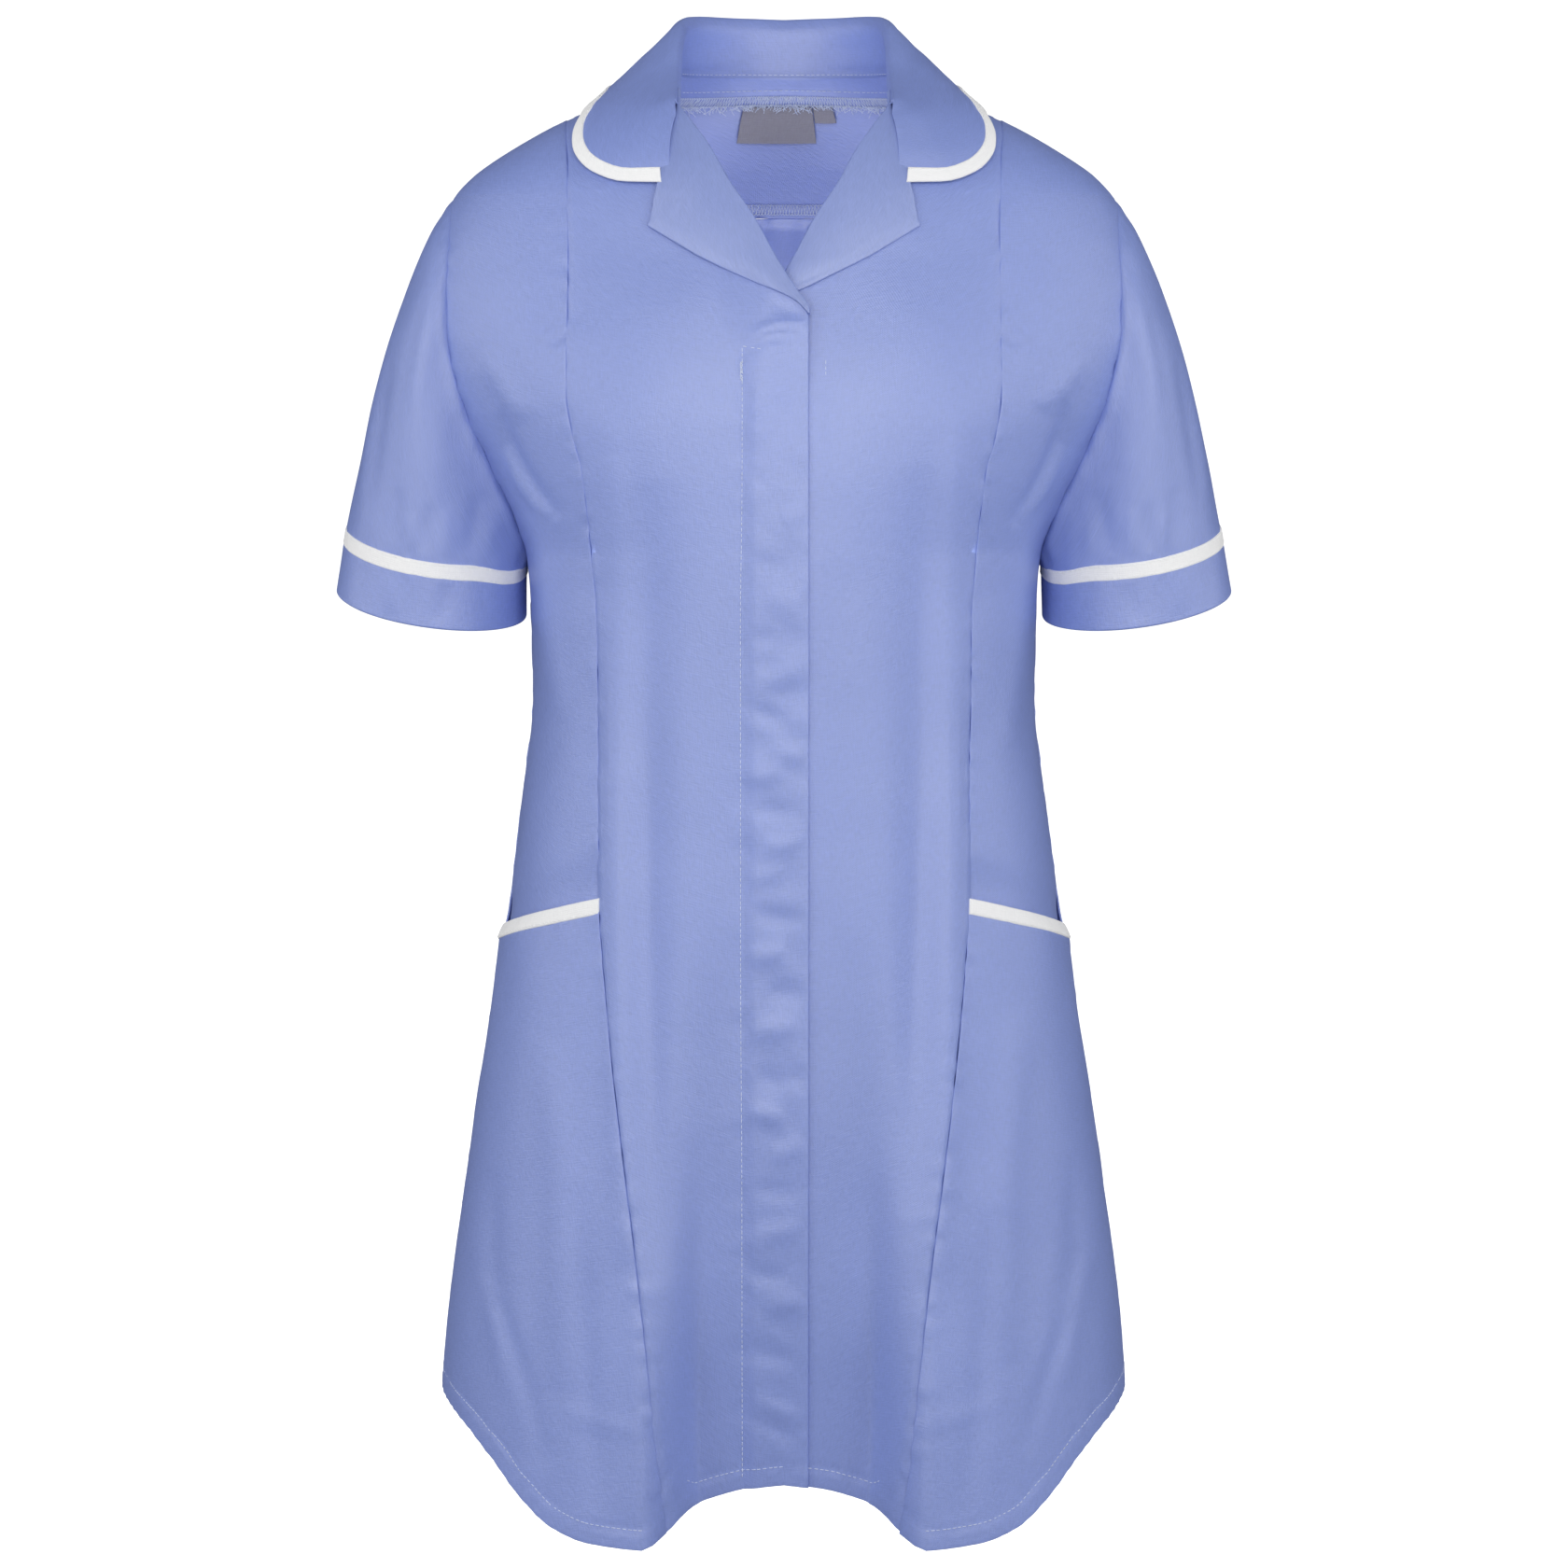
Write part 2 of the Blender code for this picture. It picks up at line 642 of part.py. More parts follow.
def sleeve_rows(distances):
    """Rows round the sleeve, each distance from the cuff's edge a function of the lines' lengths."""
    swing = np.linspace(0, 2 * np.pi, SLEEVE_COLUMNS, endpoint=False)
    ways = np.linspace(0, 1, 81)
    lines = sleeve_point(swing[None, :], ways[:, None] + 0 * swing[None, :])
    steps = np.linalg.norm(np.diff(lines, axis=0), axis=-1)
    left = np.concatenate([np.cumsum(steps[::-1], axis=0)[::-1], np.zeros((1, len(swing)))])
    rows = []
    for distance in distances:
        target = distance(left[0])
        way = [np.interp(-target[i], -left[:, i], ways) for i in range(len(swing))]
        rows.append(sleeve_point(swing, np.array(way)))
    return np.array(rows)


def cuff_row(distance):
    """A row this far from the cuff's edge, a little less where the underarm seam is short."""
    return lambda length: distance * np.where(length < SHORT_SEAM, SHORT_SEAM_SHARE, 1.0)


def sleeve_row(way):
    """A row between the armhole (way 0) and the top of the binding (way 1)."""
    last = cuff_row(CUFF_WIDTH + BINDING_WIDTH + 2 * SEAM_GAP)
    return lambda length: length + (last(length) - length) * way


def make_sleeve(name, side):
    grid = sleeve_rows([sleeve_row(way) for way in np.linspace(0, 1, SLEEVE_ROWS)])
    make_wall(name, grid, BLUE, ring=True, side=side)


def make_sleeve_binding(name, side):
    low = CUFF_WIDTH + SEAM_GAP
    grid = sleeve_rows([cuff_row(low + BINDING_WIDTH * way) for way in (1.0, 0.5, 0.0)])
    make_wall(name, grid, WHITE, BINDING_WALL, ring=True, side=side)


def make_cuff(name, side):
    grid = sleeve_rows([cuff_row(CUFF_WIDTH * way) for way in (1.0, 0.66, 0.33, 0.0)])
    make_wall(name, grid, BLUE, CUFF_WALL, ring=True, side=side)


def make_lapel(name, side, reach):
    """The turned-back facing, from the roll line out to its tip."""
    down = np.array(LAPEL_SHARES)[:, None]
    out = np.linspace(0, 1, 7)[None, :]
    top = ROLL_LINE["height"][0]
    end = BREAK_Z + 2 if side < 0 else LEFT_LAPEL_END_Z
    roll_height = top + (end - top) * down
    roll_x = column(ROLL_LINE, "across", roll_height)
    edge_x = np.interp(down, LAPEL_EDGE["way"], LAPEL_EDGE["across"])
    edge_z = np.interp(down, LAPEL_EDGE["way"], LAPEL_EDGE["height"])
    across = roll_x + (edge_x - roll_x) * out
    z = roll_height + (edge_z - roll_height) * out - GORGE_GAP * (1 - down)
    turn = turn_at(across, z)
    bulge = LAPEL_BULGE * np.sin(np.pi * out) * np.sin(np.pi * down)
    over_collar = GORGE_LIFT * (1 - ease(down, 0, 0.4)) * out
    lift = LAPEL_LIFT + fly_lift(turn, z, reach) + bulge + over_collar
    make_panel(name, turn, z, lift, BLUE_LAPEL, side=side)


def collar_value(name, way):
    return smooth(way, COLLAR["way"], COLLAR[name])


def collar_parts(way):
    """The neck seam, fold and free edge of the collar at this way round it."""
    neck_turn = np.radians(collar_value("neck_turn", way))
    in_front = smooth(np.degrees(neck_turn), NECKLINE["turn"], NECKLINE["height"])
    neck_z = np.where(neck_turn < QUARTER, in_front, neck_seam_height(neck_turn))
    edge_turn = np.radians(collar_value("edge_turn", way))
    edge_z = collar_value("edge_height", way)
    fold = np.stack([collar_value("fold_" + axis, way) for axis in "xyz"], axis=-1)
    return neck_turn, neck_z, fold, edge_turn, edge_z, collar_value("edge_lift", way)


def collar_fall(way, share):
    """The fall: share 0 at the fold, share 1 at the free edge."""
    neck_turn, neck_z, fold, edge_turn, edge_z, edge_lift = collar_parts(way)
    turn = neck_turn + (edge_turn - neck_turn) * share
    z = neck_z + (edge_z - neck_z) * share
    over = (fold - body_point(neck_turn, neck_z)) * (1 - share)[..., None]
    return on_body(turn, z, edge_lift * share + FALL_BULGE * np.sin(np.pi * share)) + over


def collar_ways():
    half = np.array(COLLAR_SHARES)
    return np.concatenate([-half[:0:-1], half])


def fall_length(way):
    edge = collar_fall(way, np.ones_like(way))
    return np.linalg.norm(edge - collar_fall(way, np.zeros_like(way)), axis=-1)


def make_collar():
    """The collar: up from the neck seam as a stand, over the fold, and down as the fall."""
    signed = collar_ways()
    way = np.abs(signed)
    neck_turn, neck_z, fold = collar_parts(way)[:3]
    neck = on_body(neck_turn, neck_z, LAYER)
    inward = fold * np.array([1.0, 1.0, 0.0])
    inward = inward / np.linalg.norm(inward, axis=-1, keepdims=True)
    end = ease(way, 0.8, 1.0)[:, None]
    roll = COLLAR_ROLL * (1 - end) + COLLAR_END_ROLL * end
    stand_top = fold - inward * roll * 1.6 - np.array([0, 0, 1.0]) * roll
    rows = [neck + (stand_top - neck) * share for share in (0.0, 0.5, 1.0)]
    rows.append(fold - inward * roll * 0.8 + np.array([0, 0, 0.15]) * roll)
    edge_share = 1 - (BINDING_WIDTH + SEAM_GAP) / fall_length(way)
    for share in (0.0, 0.12, 0.3, 0.5, 0.7, 0.86, 1.0):
        rows.append(collar_fall(way, edge_share * share))
    grid = np.array(rows)
    grid[..., 0] *= np.where(signed < 0, -1, 1)
    make_wall("collar", grid, BLUE)


def make_collar_binding():
    signed = collar_ways()
    way = np.abs(signed)
    width = BINDING_WIDTH / fall_length(way)
    grid = np.array([collar_fall(way, 1 - width * share) for share in (1.0, 0.5, 0.0)])
    grid[..., 0] *= np.where(signed < 0, -1, 1)
    make_wall("collar_binding", grid, WHITE, BINDING_WALL)


def inside_patch(name, turns, tops, drop, colour, thickness):
    """A strip that lies inside the yoke, from its top heights down by the given drop."""
    turn = np.asarray(turns)[None, :]
    z = np.asarray(tops)[None, :] - drop * np.linspace(0, 1, 4)[:, None]
    depth = -(WALL + thickness) / 2 - INSIDE_GAP
    make_panel(name, np.minimum(turn, 2 * np.pi - turn), z, depth, colour, thickness,
               np.where(turn > HALF, -1, 1))


def make_neck_strip():
    # the same columns as the yoke, without its outermost ones
    turns = QUARTER + QUARTER * mirrored(BACK_SHARES)[1:-1]
    tops = neck_seam_height(turns) - NECK_STRIP_DROP
    inside_patch("neck_seam_strip", turns, tops, NECK_STRIP_WIDTH, BLUE, NECK_STRIP_WALL)


def back_turn_at(across, z):
    """The turn behind the body at which it lies this far from the centre plane."""
    depth = column(BODY, "back", np.asarray(z, float))
    return HALF - np.arctan2(across, depth)


def make_labels():
    spans = (("label", LABEL_MIDDLE_X, LABEL_SIZE),
             ("size_tab", LABEL_MIDDLE_X + (LABEL_SIZE[0] + SIZE_TAB_SIZE[0]) / 2 + 0.6, SIZE_TAB_SIZE))
    for name, middle, (wide, tall) in spans:
        across = np.linspace(middle - wide / 2, middle + wide / 2, 6)
        turns = back_turn_at(across, -NECK_STRIP_WIDTH)
        top = neck_seam_height(turns).min() - NECK_STRIP_DROP - NECK_STRIP_WIDTH - 2 * SEAM_GAP
        inside_patch(name, turns, np.full(6, top), tall, TAUPE, LABEL_WALL)


def main():
    for old in list(bpy.data.objects):
        bpy.data.objects.remove(old)
    # the wearer's right front laps over the left one, so only it stands off at the fly
    for end, side, reach in (("right", -1, 1.0), ("left", 1, 0.0)):
        make_front("front_" + end, side, reach)
        make_side_front("side_front_" + end, side)
        make_pocket("pocket_" + end, side)
        make_pocket_binding("pocket_binding_" + end, side)
        make_sleeve("sleeve_" + end, side)
        make_sleeve_binding("sleeve_binding_" + end, side)
        make_cuff("cuff_" + end, side)
        make_lapel("lapel_" + end, side, reach)
    make_yoke()
    make_back()
    make_collar()
    make_collar_binding()
    make_neck_strip()
    make_labels()


main()
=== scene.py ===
"""Maternity tunic, dressed for the photograph's view.

Every piece of cloth is a thin shell on the same hollow body form as its solid. The form is a stack of
rounded sections, and a point on it is given by its turn (0 at the front centre, a quarter turn at the
side seam, half a turn at the back centre) and its height, in millimetres. Folds, puckers, hems and
seams are added as a lift off that form. Sewing is made of small thread spindles laid on the cloth.
"""
import bpy
import numpy as np
from bpy.props import FloatProperty, FloatVectorProperty, PointerProperty
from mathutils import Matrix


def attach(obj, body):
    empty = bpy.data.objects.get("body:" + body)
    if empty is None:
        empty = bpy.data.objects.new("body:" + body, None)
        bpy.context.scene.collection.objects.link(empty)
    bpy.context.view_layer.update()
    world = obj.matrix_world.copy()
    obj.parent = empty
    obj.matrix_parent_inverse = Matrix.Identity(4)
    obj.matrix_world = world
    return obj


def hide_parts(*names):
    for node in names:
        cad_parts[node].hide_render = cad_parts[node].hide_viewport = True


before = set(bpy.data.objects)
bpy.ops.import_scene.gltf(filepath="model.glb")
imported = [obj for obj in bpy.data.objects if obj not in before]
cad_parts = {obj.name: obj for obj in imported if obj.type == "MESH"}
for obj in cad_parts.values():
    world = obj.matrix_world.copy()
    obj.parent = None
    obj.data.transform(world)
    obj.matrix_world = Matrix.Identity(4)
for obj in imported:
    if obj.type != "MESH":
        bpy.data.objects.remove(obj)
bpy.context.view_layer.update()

bl_info = {
    "name": "Maternity tunic",
    "version": (1, 0, 0),
    "blender": (4, 5, 0),
    "location": "View3D > Sidebar > Tunic",
    "description": "Builds the dressed tunic on its packed frame, and the stage round it",
    "category": "Object",
}

MM = 0.001
SIDES = (-1, 1)
QUARTER = np.pi / 2
HALF = np.pi
UV = "cloth"

# how thick the cloth is built, half of that, and how square the sections of the body form are
WALL = 1.2
HALF_WALL = WALL / 2
SECTION_ROUNDNESS = 2.3

# heights of the main seams, the size of the armhole and how it narrows at the underarm, and the hem, with
# the mean radius that its lengths are measured at
NECK_SIDE_Z = -3.7
FRONT_TOP_Z = -5.6
PRINCESS_TOP_Z = -30.6
ARMHOLE_MIDDLE_Z = -180.0
ARMHOLE_HALF_HEIGHT = 104.0
ARMHOLE_FRONT_DEPTH = 50.0
ARMHOLE_BACK_DEPTH = 54.0
ARMHOLE_ROUNDNESS = 2.4
UNDERARM_NARROWING = 0.16
UNDERARM_NARROW_Z = (-245.0, -175.0)
YOKE_SEAM_Z = -81.0
LOWEST_Z = -850.0
HEM_CURVE_START_Z = -560.0
HEM_RADIUS = 170.0

# soft shaping: the bust, and the waves that open round the back towards the hem
BUST_TURN = 38.0
BUST_SPREAD = 20.0
BUST_Z = -195.0
BUST_HEIGHT = 55.0
BUST_RISE = 4.0
WAVES_ROUND_BACK = 3
WAVE_RISE = 5.0
WAVES_START_Z = -450.0

# the closure and lapels, the dart, the pockets, the bindings and cuffs, the pleat, what hangs inside the
# neck, and the collar
LAP = 14.0
FLY_WIDTH = 38.0
FLY_EXTRA = 0.25
BREAK_Z = -150.0
LEFT_LAPEL_END_Z = -131.0
LAPEL_LIFT = 2.1
LAPEL_BULGE = 1.6
GORGE_GAP = 1.0
GORGE_LIFT = 1.0
FLY_LIFT = 2.2
BREAK_LIFT = 5.4
BREAK_REACH = 45.0
FLY_SLOPE = 9.0
POCKET_BAG_Z = -640.0
DART_START = (123.4, -157.9)
DART_SLOPE = 0.335
DART_END = (151.0, 140.0)
POCKET_STAND = 3.4
POCKET_SETTLE = 60.0
POCKET_OPENS_OVER = 0.45
BAG_DEPTH = 2.3
BINDING_WIDTH = 9.5
BINDING_FOLD_SHARE = 0.6
SLEEVE_TAPE_FOLD_SHARE = 0.7
CUFF_WIDTH = 29.0
SHORT_SEAM = 60.0
SHORT_SEAM_SHARE = 0.86
PLEAT_HALF_WIDTH = 14.0
PLEAT_LIFT = 2.4
PLEAT_SPREAD = 16.0
NECK_STRIP_WIDTH = 12.5
NECK_STRIP_DROP = 2.2
INSIDE_GAP = 0.75
LABEL_SIZE = (41.5, 21.0)
LABEL_MIDDLE_X = -4.0
SIZE_TAB_SIZE = (12.6, 9.0)
LABEL_WALL = 1.0
COLLAR_ROLL = 3.2
COLLAR_END_ROLL = 1.1
FALL_BULGE = 1.5

# heights of the two rows of stitches inside the back neck, above and below the neck seam
STAND_ROW = 1.6
STRIP_ROW = 4.6

# how far past the princess seam a front runs on, under the side, as a share of its width
SEAM_TUCK = 0.014

# how fine the grids are: columns of the sleeve and collar, rows of a patch inside the neck and of a tape
SLEEVE_COLUMNS = 168
COLLAR_COLUMNS = 150
PATCH_ROWS = np.linspace(0, 1, 14)[:, None]
TAPE_ROWS = np.linspace(0, 1, 13)

# the least width and length taken for a sheet, in millimetres, and the pitch of the twill's lines, in metres
NARROWEST_SHEET = 10.0
TWILL_PITCH = 0.0011

# the CAD nodes whose names differ from their pieces' own
NODES = {"yoke": "back_yoke", "neck_strip": "neck_seam_strip"}


def table(names, *rows):
    """A table with a name for each column."""
    values = np.array(rows, float)
    return {name: values[:, i] for i, name in enumerate(names.split())}


# sections of the body form: half width at the side seams, and depth in front of and behind them
BODY = table(
    "height half_width front back",
    (0.0, 57.0, 40.0, 62.0),
    (-3.7, 64.5, 44.0, 65.0),
    (-13.0, 85.0, 52.0, 72.0),
    (-22.0, 107.0, 59.0, 78.0),
    (-30.6, 128.0, 66.0, 82.5),
    (-41.8, 149.7, 73.0, 87.5),
    (-53.0, 168.0, 79.0, 92.0),
    (-64.0, 183.0, 84.0, 95.5),
    (-76.0, 194.0, 88.5, 99.0),
    (-92.0, 201.5, 93.5, 103.0),
    (-108.0, 206.5, 98.0, 106.0),
    (-136.0, 210.5, 106.0, 109.0),
    (-156.0, 210.0, 111.0, 110.5),
    (-174.0, 206.0, 115.0, 111.0),
    (-190.0, 200.0, 118.0, 111.0),
    (-203.0, 194.0, 120.0, 110.5),
    (-225.0, 181.0, 122.0, 109.5),
    (-241.0, 172.0, 123.0, 108.0),
    (-261.0, 161.0, 123.5, 105.5),
    (-284.0, 151.4, 124.0, 102.5),
    (-312.0, 148.6, 124.5, 99.0),
    (-368.0, 147.8, 125.5, 95.0),
    (-435.0, 155.4, 128.0, 97.0),
    (-480.0, 161.3, 131.0, 102.0),
    (-524.0, 168.3, 134.0, 107.5),
    (-569.0, 175.5, 137.5, 113.0),
    (-613.0, 183.0, 141.0, 118.5),
    (-658.0, 190.0, 144.5, 124.0),
    (-703.0, 196.5, 148.0, 129.0),
    (-747.0, 201.4, 151.5, 134.0),
    (-780.0, 203.6, 153.5, 137.5),
    (-850.0, 206.0, 157.0, 142.0),
)

# the broad hollow down the front centre: its depth, and the turns where its flank starts and ends
VALLEY = table(
    "height depth inner_turn outer_turn",
    (-284.0, 0.0, 8.0, 46.0),
    (-430.0, 3.0, 10.0, 43.0),
    (-560.0, 9.0, 14.0, 38.0),
    (-690.0, 21.0, 19.5, 32.5),
    (-770.0, 34.0, 22.5, 30.0),
    (-850.0, 48.0, 24.2, 28.6),
)

# the princess seam: its distance from the centre plane
PRINCESS = table(
    "height across",
    (-30.6, 127.0),
    (-67.0, 124.2),
    (-110.0, 123.3),
    (-192.0, 123.7),
    (-215.0, 120.2),
    (-236.0, 115.0),
    (-283.0, 110.0),
    (-325.0, 107.0),
    (-488.0, 105.2),
    (-525.0, 102.3),
    (-590.0, 95.5),
    (-682.0, 84.7),
    (-729.0, 79.3),
    (-788.0, 73.4),
    (-817.0, 70.0),
    (-850.0, 65.5),
)

# the opened front edge: neckline down to the top of the gorge, then the roll line down to the break
NECKLINE = table("height turn", (-3.7, 90.0), (-7.0, 78.0), (-14.0, 63.0), (-26.0, 47.2))

ROLL_LINE = table(
    "height across",
    (-26.0, 60.9),
    (-37.7, 52.1),
    (-50.8, 42.9),
    (-70.2, 32.2),
    (-91.6, 18.3),
    (-118.3, 4.0),
    (-134.7, -6.6),
    (-144.0, -13.0),
    (-150.0, -14.0),
)

# the hem: its height at each turn round the body
HEM = table(
    "turn height",
    (0.0, -817.0),
    (10.4, -819.5),
    (21.3, -826.0),
    (24.7, -829.8),
    (26.1, -835.7),
    (27.0, -843.5),
    (28.4, -847.3),
    (38.6, -845.5),
    (46.0, -839.0),
    (52.4, -825.0),
    (60.4, -803.5),
    (67.5, -790.5),
    (79.2, -781.0),
    (90.0, -778.5),
    (101.0, -781.0),
    (112.0, -790.0),
    (124.0, -808.0),
    (138.0, -824.0),
    (158.0, -833.0),
    (180.0, -835.0),
)

# the pocket mouth, from the princess seam back to the side seam
POCKET_MOUTH = table(
    "turn height",
    (38.0, -475.5),
    (44.3, -478.5),
    (59.7, -488.3),
    (78.6, -500.0),
    (90.0, -505.0),
)

# the lapel: its free edge from the gorge round the tip and back to the break
LAPEL_EDGE = table(
    "way across height",
    (0.0, 69.0, -73.6),
    (0.18, 71.9, -85.0),
    (0.35, 77.7, -96.1),
    (0.6, 49.5, -113.4),
    (0.85, 14.5, -131.0),
    (1.0, -6.5, -140.0),
)

# the collar, from the back centre (way 0) to the gorge (way 1): the neck seam's turn, the fold's place
# and the free edge's turn, height and lift off the shoulder
COLLAR = table(
    "way neck_turn fold_x fold_y fold_z edge_turn edge_height edge_lift",
    (0.00, 180.0, 0.0, 71.0, 35.0, 180.0, -24.0, 5.0),
    (0.15, 160.0, 26.0, 67.0, 35.5, 160.0, -22.0, 5.0),
    (0.30, 137.0, 46.0, 52.0, 35.0, 137.0, -18.0, 5.5),
    (0.45, 113.0, 58.5, 32.0, 33.0, 112.0, -17.0, 6.0),
    (0.58, 92.0, 64.0, 12.0, 26.5, 92.0, -20.5, 5.5),
    (0.68, 78.0, 65.5, -8.0, 12.0, 79.0, -24.5, 5.0),
    (0.76, 70.0, 65.5, -22.0, -0.5, 71.2, -33.4, 4.8),
    (0.83, 64.0, 64.8, -34.0, -8.5, 66.2, -45.5, 4.6),
    (0.885, 58.5, 64.3, -42.5, -13.5, 61.4, -57.1, 4.4),
    (0.93, 54.0, 64.0, -49.0, -17.0, 55.5, -66.8, 4.2),
    (0.965, 50.5, 63.8, -54.5, -19.8, 48.5, -71.9, 4.0),
    (1.00, 47.2, 63.4, -60.0, -22.5, 39.7, -72.4, 3.8),
)

# the sleeve: its opening's middle, the reach of that opening outward and to the front, and how its
# lengthwise lines leave the armhole and arrive at the cuff, at the top, the underarm and the two sides
SLEEVE_END = np.array([209.2, 0.0, -313.5])
SLEEVE_END_OUT = np.array([55.4, 0.0, 8.0])
SLEEVE_END_FRONT = np.array([0.0, -50.0, -12.5])
LEAVE_TOP = np.array([33.5, 0.0, -48.0])
LEAVE_UNDERARM = np.array([1.0, 0.0, -12.0])
LEAVE_FRONT = np.array([8.0, -9.0, -14.0])
LEAVE_BACK = np.array([8.0, 9.0, -14.0])
ARRIVE_TOP = np.array([-13.0, 0.0, 80.0])
ARRIVE_UNDERARM = np.array([0.0, 0.0, 12.0])


def hermite(t, step, first, last, first_slope, last_slope):
    """A cubic piece between two values with given slopes, t going from 0 to 1 over the step."""
    start = (1 + 2 * t) * (1 - t) ** 2 * first + t * (1 - t) ** 2 * step * first_slope
    end = t * t * (3 - 2 * t) * last - t * t * (1 - t) * step * last_slope
    return start + end


def smooth(x, knots, values):
    """A curve through the knots that never overshoots them."""
    order = np.argsort(knots)
    knots = np.asarray(knots)[order]
    values = np.asarray(values)[order]
    step = np.diff(knots)
    rise = np.diff(values) / step
    slope = np.zeros(len(knots))
    slope[0] = rise[0]
    slope[-1] = rise[-1]
    same = rise[:-1] * rise[1:] > 0
    slope[1:-1][same] = (2 * rise[:-1] * rise[1:])[same] / (rise[:-1] + rise[1:])[same]
    x = np.clip(np.asarray(x, float), knots[0], knots[-1])
    i = np.clip(np.searchsorted(knots, x) - 1, 0, len(step) - 1)
    return hermite((x - knots[i]) / step[i], step[i], values[i], values[i + 1], slope[i], slope[i + 1])


def ease(x, start, end):
    """0 at the start, 1 at the end, with a soft S between them."""
    t = np.clip((x - start) / (end - start), 0, 1)
    return t * t * (3 - 2 * t)


def column(source, name, height):
    """One column of a table at any height."""
    return smooth(height, source["height"], source[name])


def body_point(turn, z):
    """The middle of the cloth on the body form, for one half of the body."""
    turn = np.asarray(turn, float)
    z = np.asarray(z, float)
    width = column(BODY, "half_width", z)
    depth = np.where(np.cos(turn) > 0, column(BODY, "front", z), column(BODY, "back", z))
    power = SECTION_ROUNDNESS
    radius = (np.abs(np.sin(turn) / width) ** power + np.abs(np.cos(turn) / depth) ** power) ** (-1 / power)
    degrees = np.degrees(np.abs(turn))
    inner = column(VALLEY, "inner_turn", z)
    outer = column(VALLEY, "outer_turn", z)
    radius = radius - column(VALLEY, "depth", z) * (1 - ease(degrees, inner, outer))
    bust = np.exp(-((degrees - BUST_TURN) / BUST_SPREAD) ** 2 - ((z - BUST_Z) / BUST_HEIGHT) ** 2)
    waves = np.cos(2 * WAVES_ROUND_BACK * np.radians(180 - degrees))
    waves = waves * ease(degrees, 95, 130) * ease(z, WAVES_START_Z, LOWEST_Z)
    radius = radius + BUST_RISE * bust + WAVE_RISE * waves
    return np.stack([radius * np.sin(turn), -radius * np.cos(turn), z + 0 * turn], axis=-1)


def body_normal(turn, z):
    """The unit vector that points out of the body form."""
    across = body_point(turn + 0.004, z) - body_point(turn - 0.004, z)
    up = body_point(turn, z + 0.6) - body_point(turn, z - 0.6)
    normal = np.cross(across, up)
    return normal / np.linalg.norm(normal, axis=-1, keepdims=True)


def on_body(turn, z, lift=0.0):
    """A point that is lifted off the body form by the given distance."""
    turn, z, lift = np.broadcast_arrays(turn, z, lift)
    return body_point(turn, z) + body_normal(turn, z) * lift[..., None]


def bisect(beyond, low, rounds):
    """The narrow stretch of turns, no further than a quarter turn, at which beyond starts to hold."""
    high = np.full_like(low, QUARTER)
    for _ in range(rounds):
        middle = (low + high) / 2
        over = beyond(middle)
        low, high = np.where(over, low, middle), np.where(over, middle, high)
    return low, high


def turn_at(across, z):
    """The turn at which the front of the body form lies this far from the centre plane."""
    across, z = np.broadcast_arrays(np.asarray(across, float), np.asarray(z, float))
    low, high = bisect(lambda turn: body_point(turn, z)[..., 0] > across, -0.5 + 0 * across, 40)
    return (low + high) / 2


def armhole_depth(z, depth):
    """How far the armhole reaches forward, or back, at a height: a rounded oval, narrower at the underarm."""
    share = np.clip(np.abs(z - ARMHOLE_MIDDLE_Z) / ARMHOLE_HALF_HEIGHT, 0, 1)
    narrower_below = 1 - UNDERARM_NARROWING * (1 - ease(z, *UNDERARM_NARROW_Z))
    return depth * narrower_below * (1 - share ** ARMHOLE_ROUNDNESS) ** (1 / ARMHOLE_ROUNDNESS)


def armhole_height(rise):
    """The height on the armhole's edge, from rise 1 at its top to rise -1 at the underarm."""
    return ARMHOLE_MIDDLE_Z + ARMHOLE_HALF_HEIGHT * np.sign(rise) * np.abs(rise) ** (2 / ARMHOLE_ROUNDNESS)


def along_seam(turn_of, low, high):
    """A seam's turn at any height, read off a ladder of heights a quarter of a millimetre apart."""
    ladder = np.linspace(low, high, int((high - low) * 4) + 1)
    turns = turn_of(ladder)
    return lambda z: np.interp(z, ladder, turns)


def bisected_armhole(back):
    """The armhole's edge: the turn at which the body form is just as deep as the armhole is there."""

    def turn_of(z):
        depth = armhole_depth(z, ARMHOLE_BACK_DEPTH if back else ARMHOLE_FRONT_DEPTH)

        def shallower(turn):
            return np.abs(body_point(HALF - turn if back else turn, z)[..., 1]) <= depth

        low = bisect(shallower, np.zeros_like(z), 34)[0]
        return HALF - low if back else low

    reach = ARMHOLE_HALF_HEIGHT
    return along_seam(turn_of, ARMHOLE_MIDDLE_Z - reach, ARMHOLE_MIDDLE_Z + reach)


armhole_front = bisected_armhole(False)
armhole_back = bisected_armhole(True)
princess_seam = along_seam(lambda z: turn_at(column(PRINCESS, "across", z), z), LOWEST_Z - 2, PRINCESS_TOP_Z)
roll_seam = along_seam(
    lambda z: turn_at(column(ROLL_LINE, "across", z), z), LOWEST_Z - 2, ROLL_LINE["height"][0])


def princess_turn(z):
    """The turn of the princess seam, which meets the shoulder seam at its top."""
    return np.where(z > PRINCESS_TOP_Z, QUARTER, princess_seam(z))


def front_edge_turn(z):
    """The open edge of a front: neckline, roll line, then straight down at the lap."""
    neck = np.radians(column(NECKLINE, "turn", z))
    return np.where(z > NECKLINE["height"][-1], neck, roll_seam(z))


def hem_height(turn):
    """The height of the hem's edge at a turn."""
    return smooth(np.degrees(np.abs(turn)), HEM["turn"], HEM["height"])


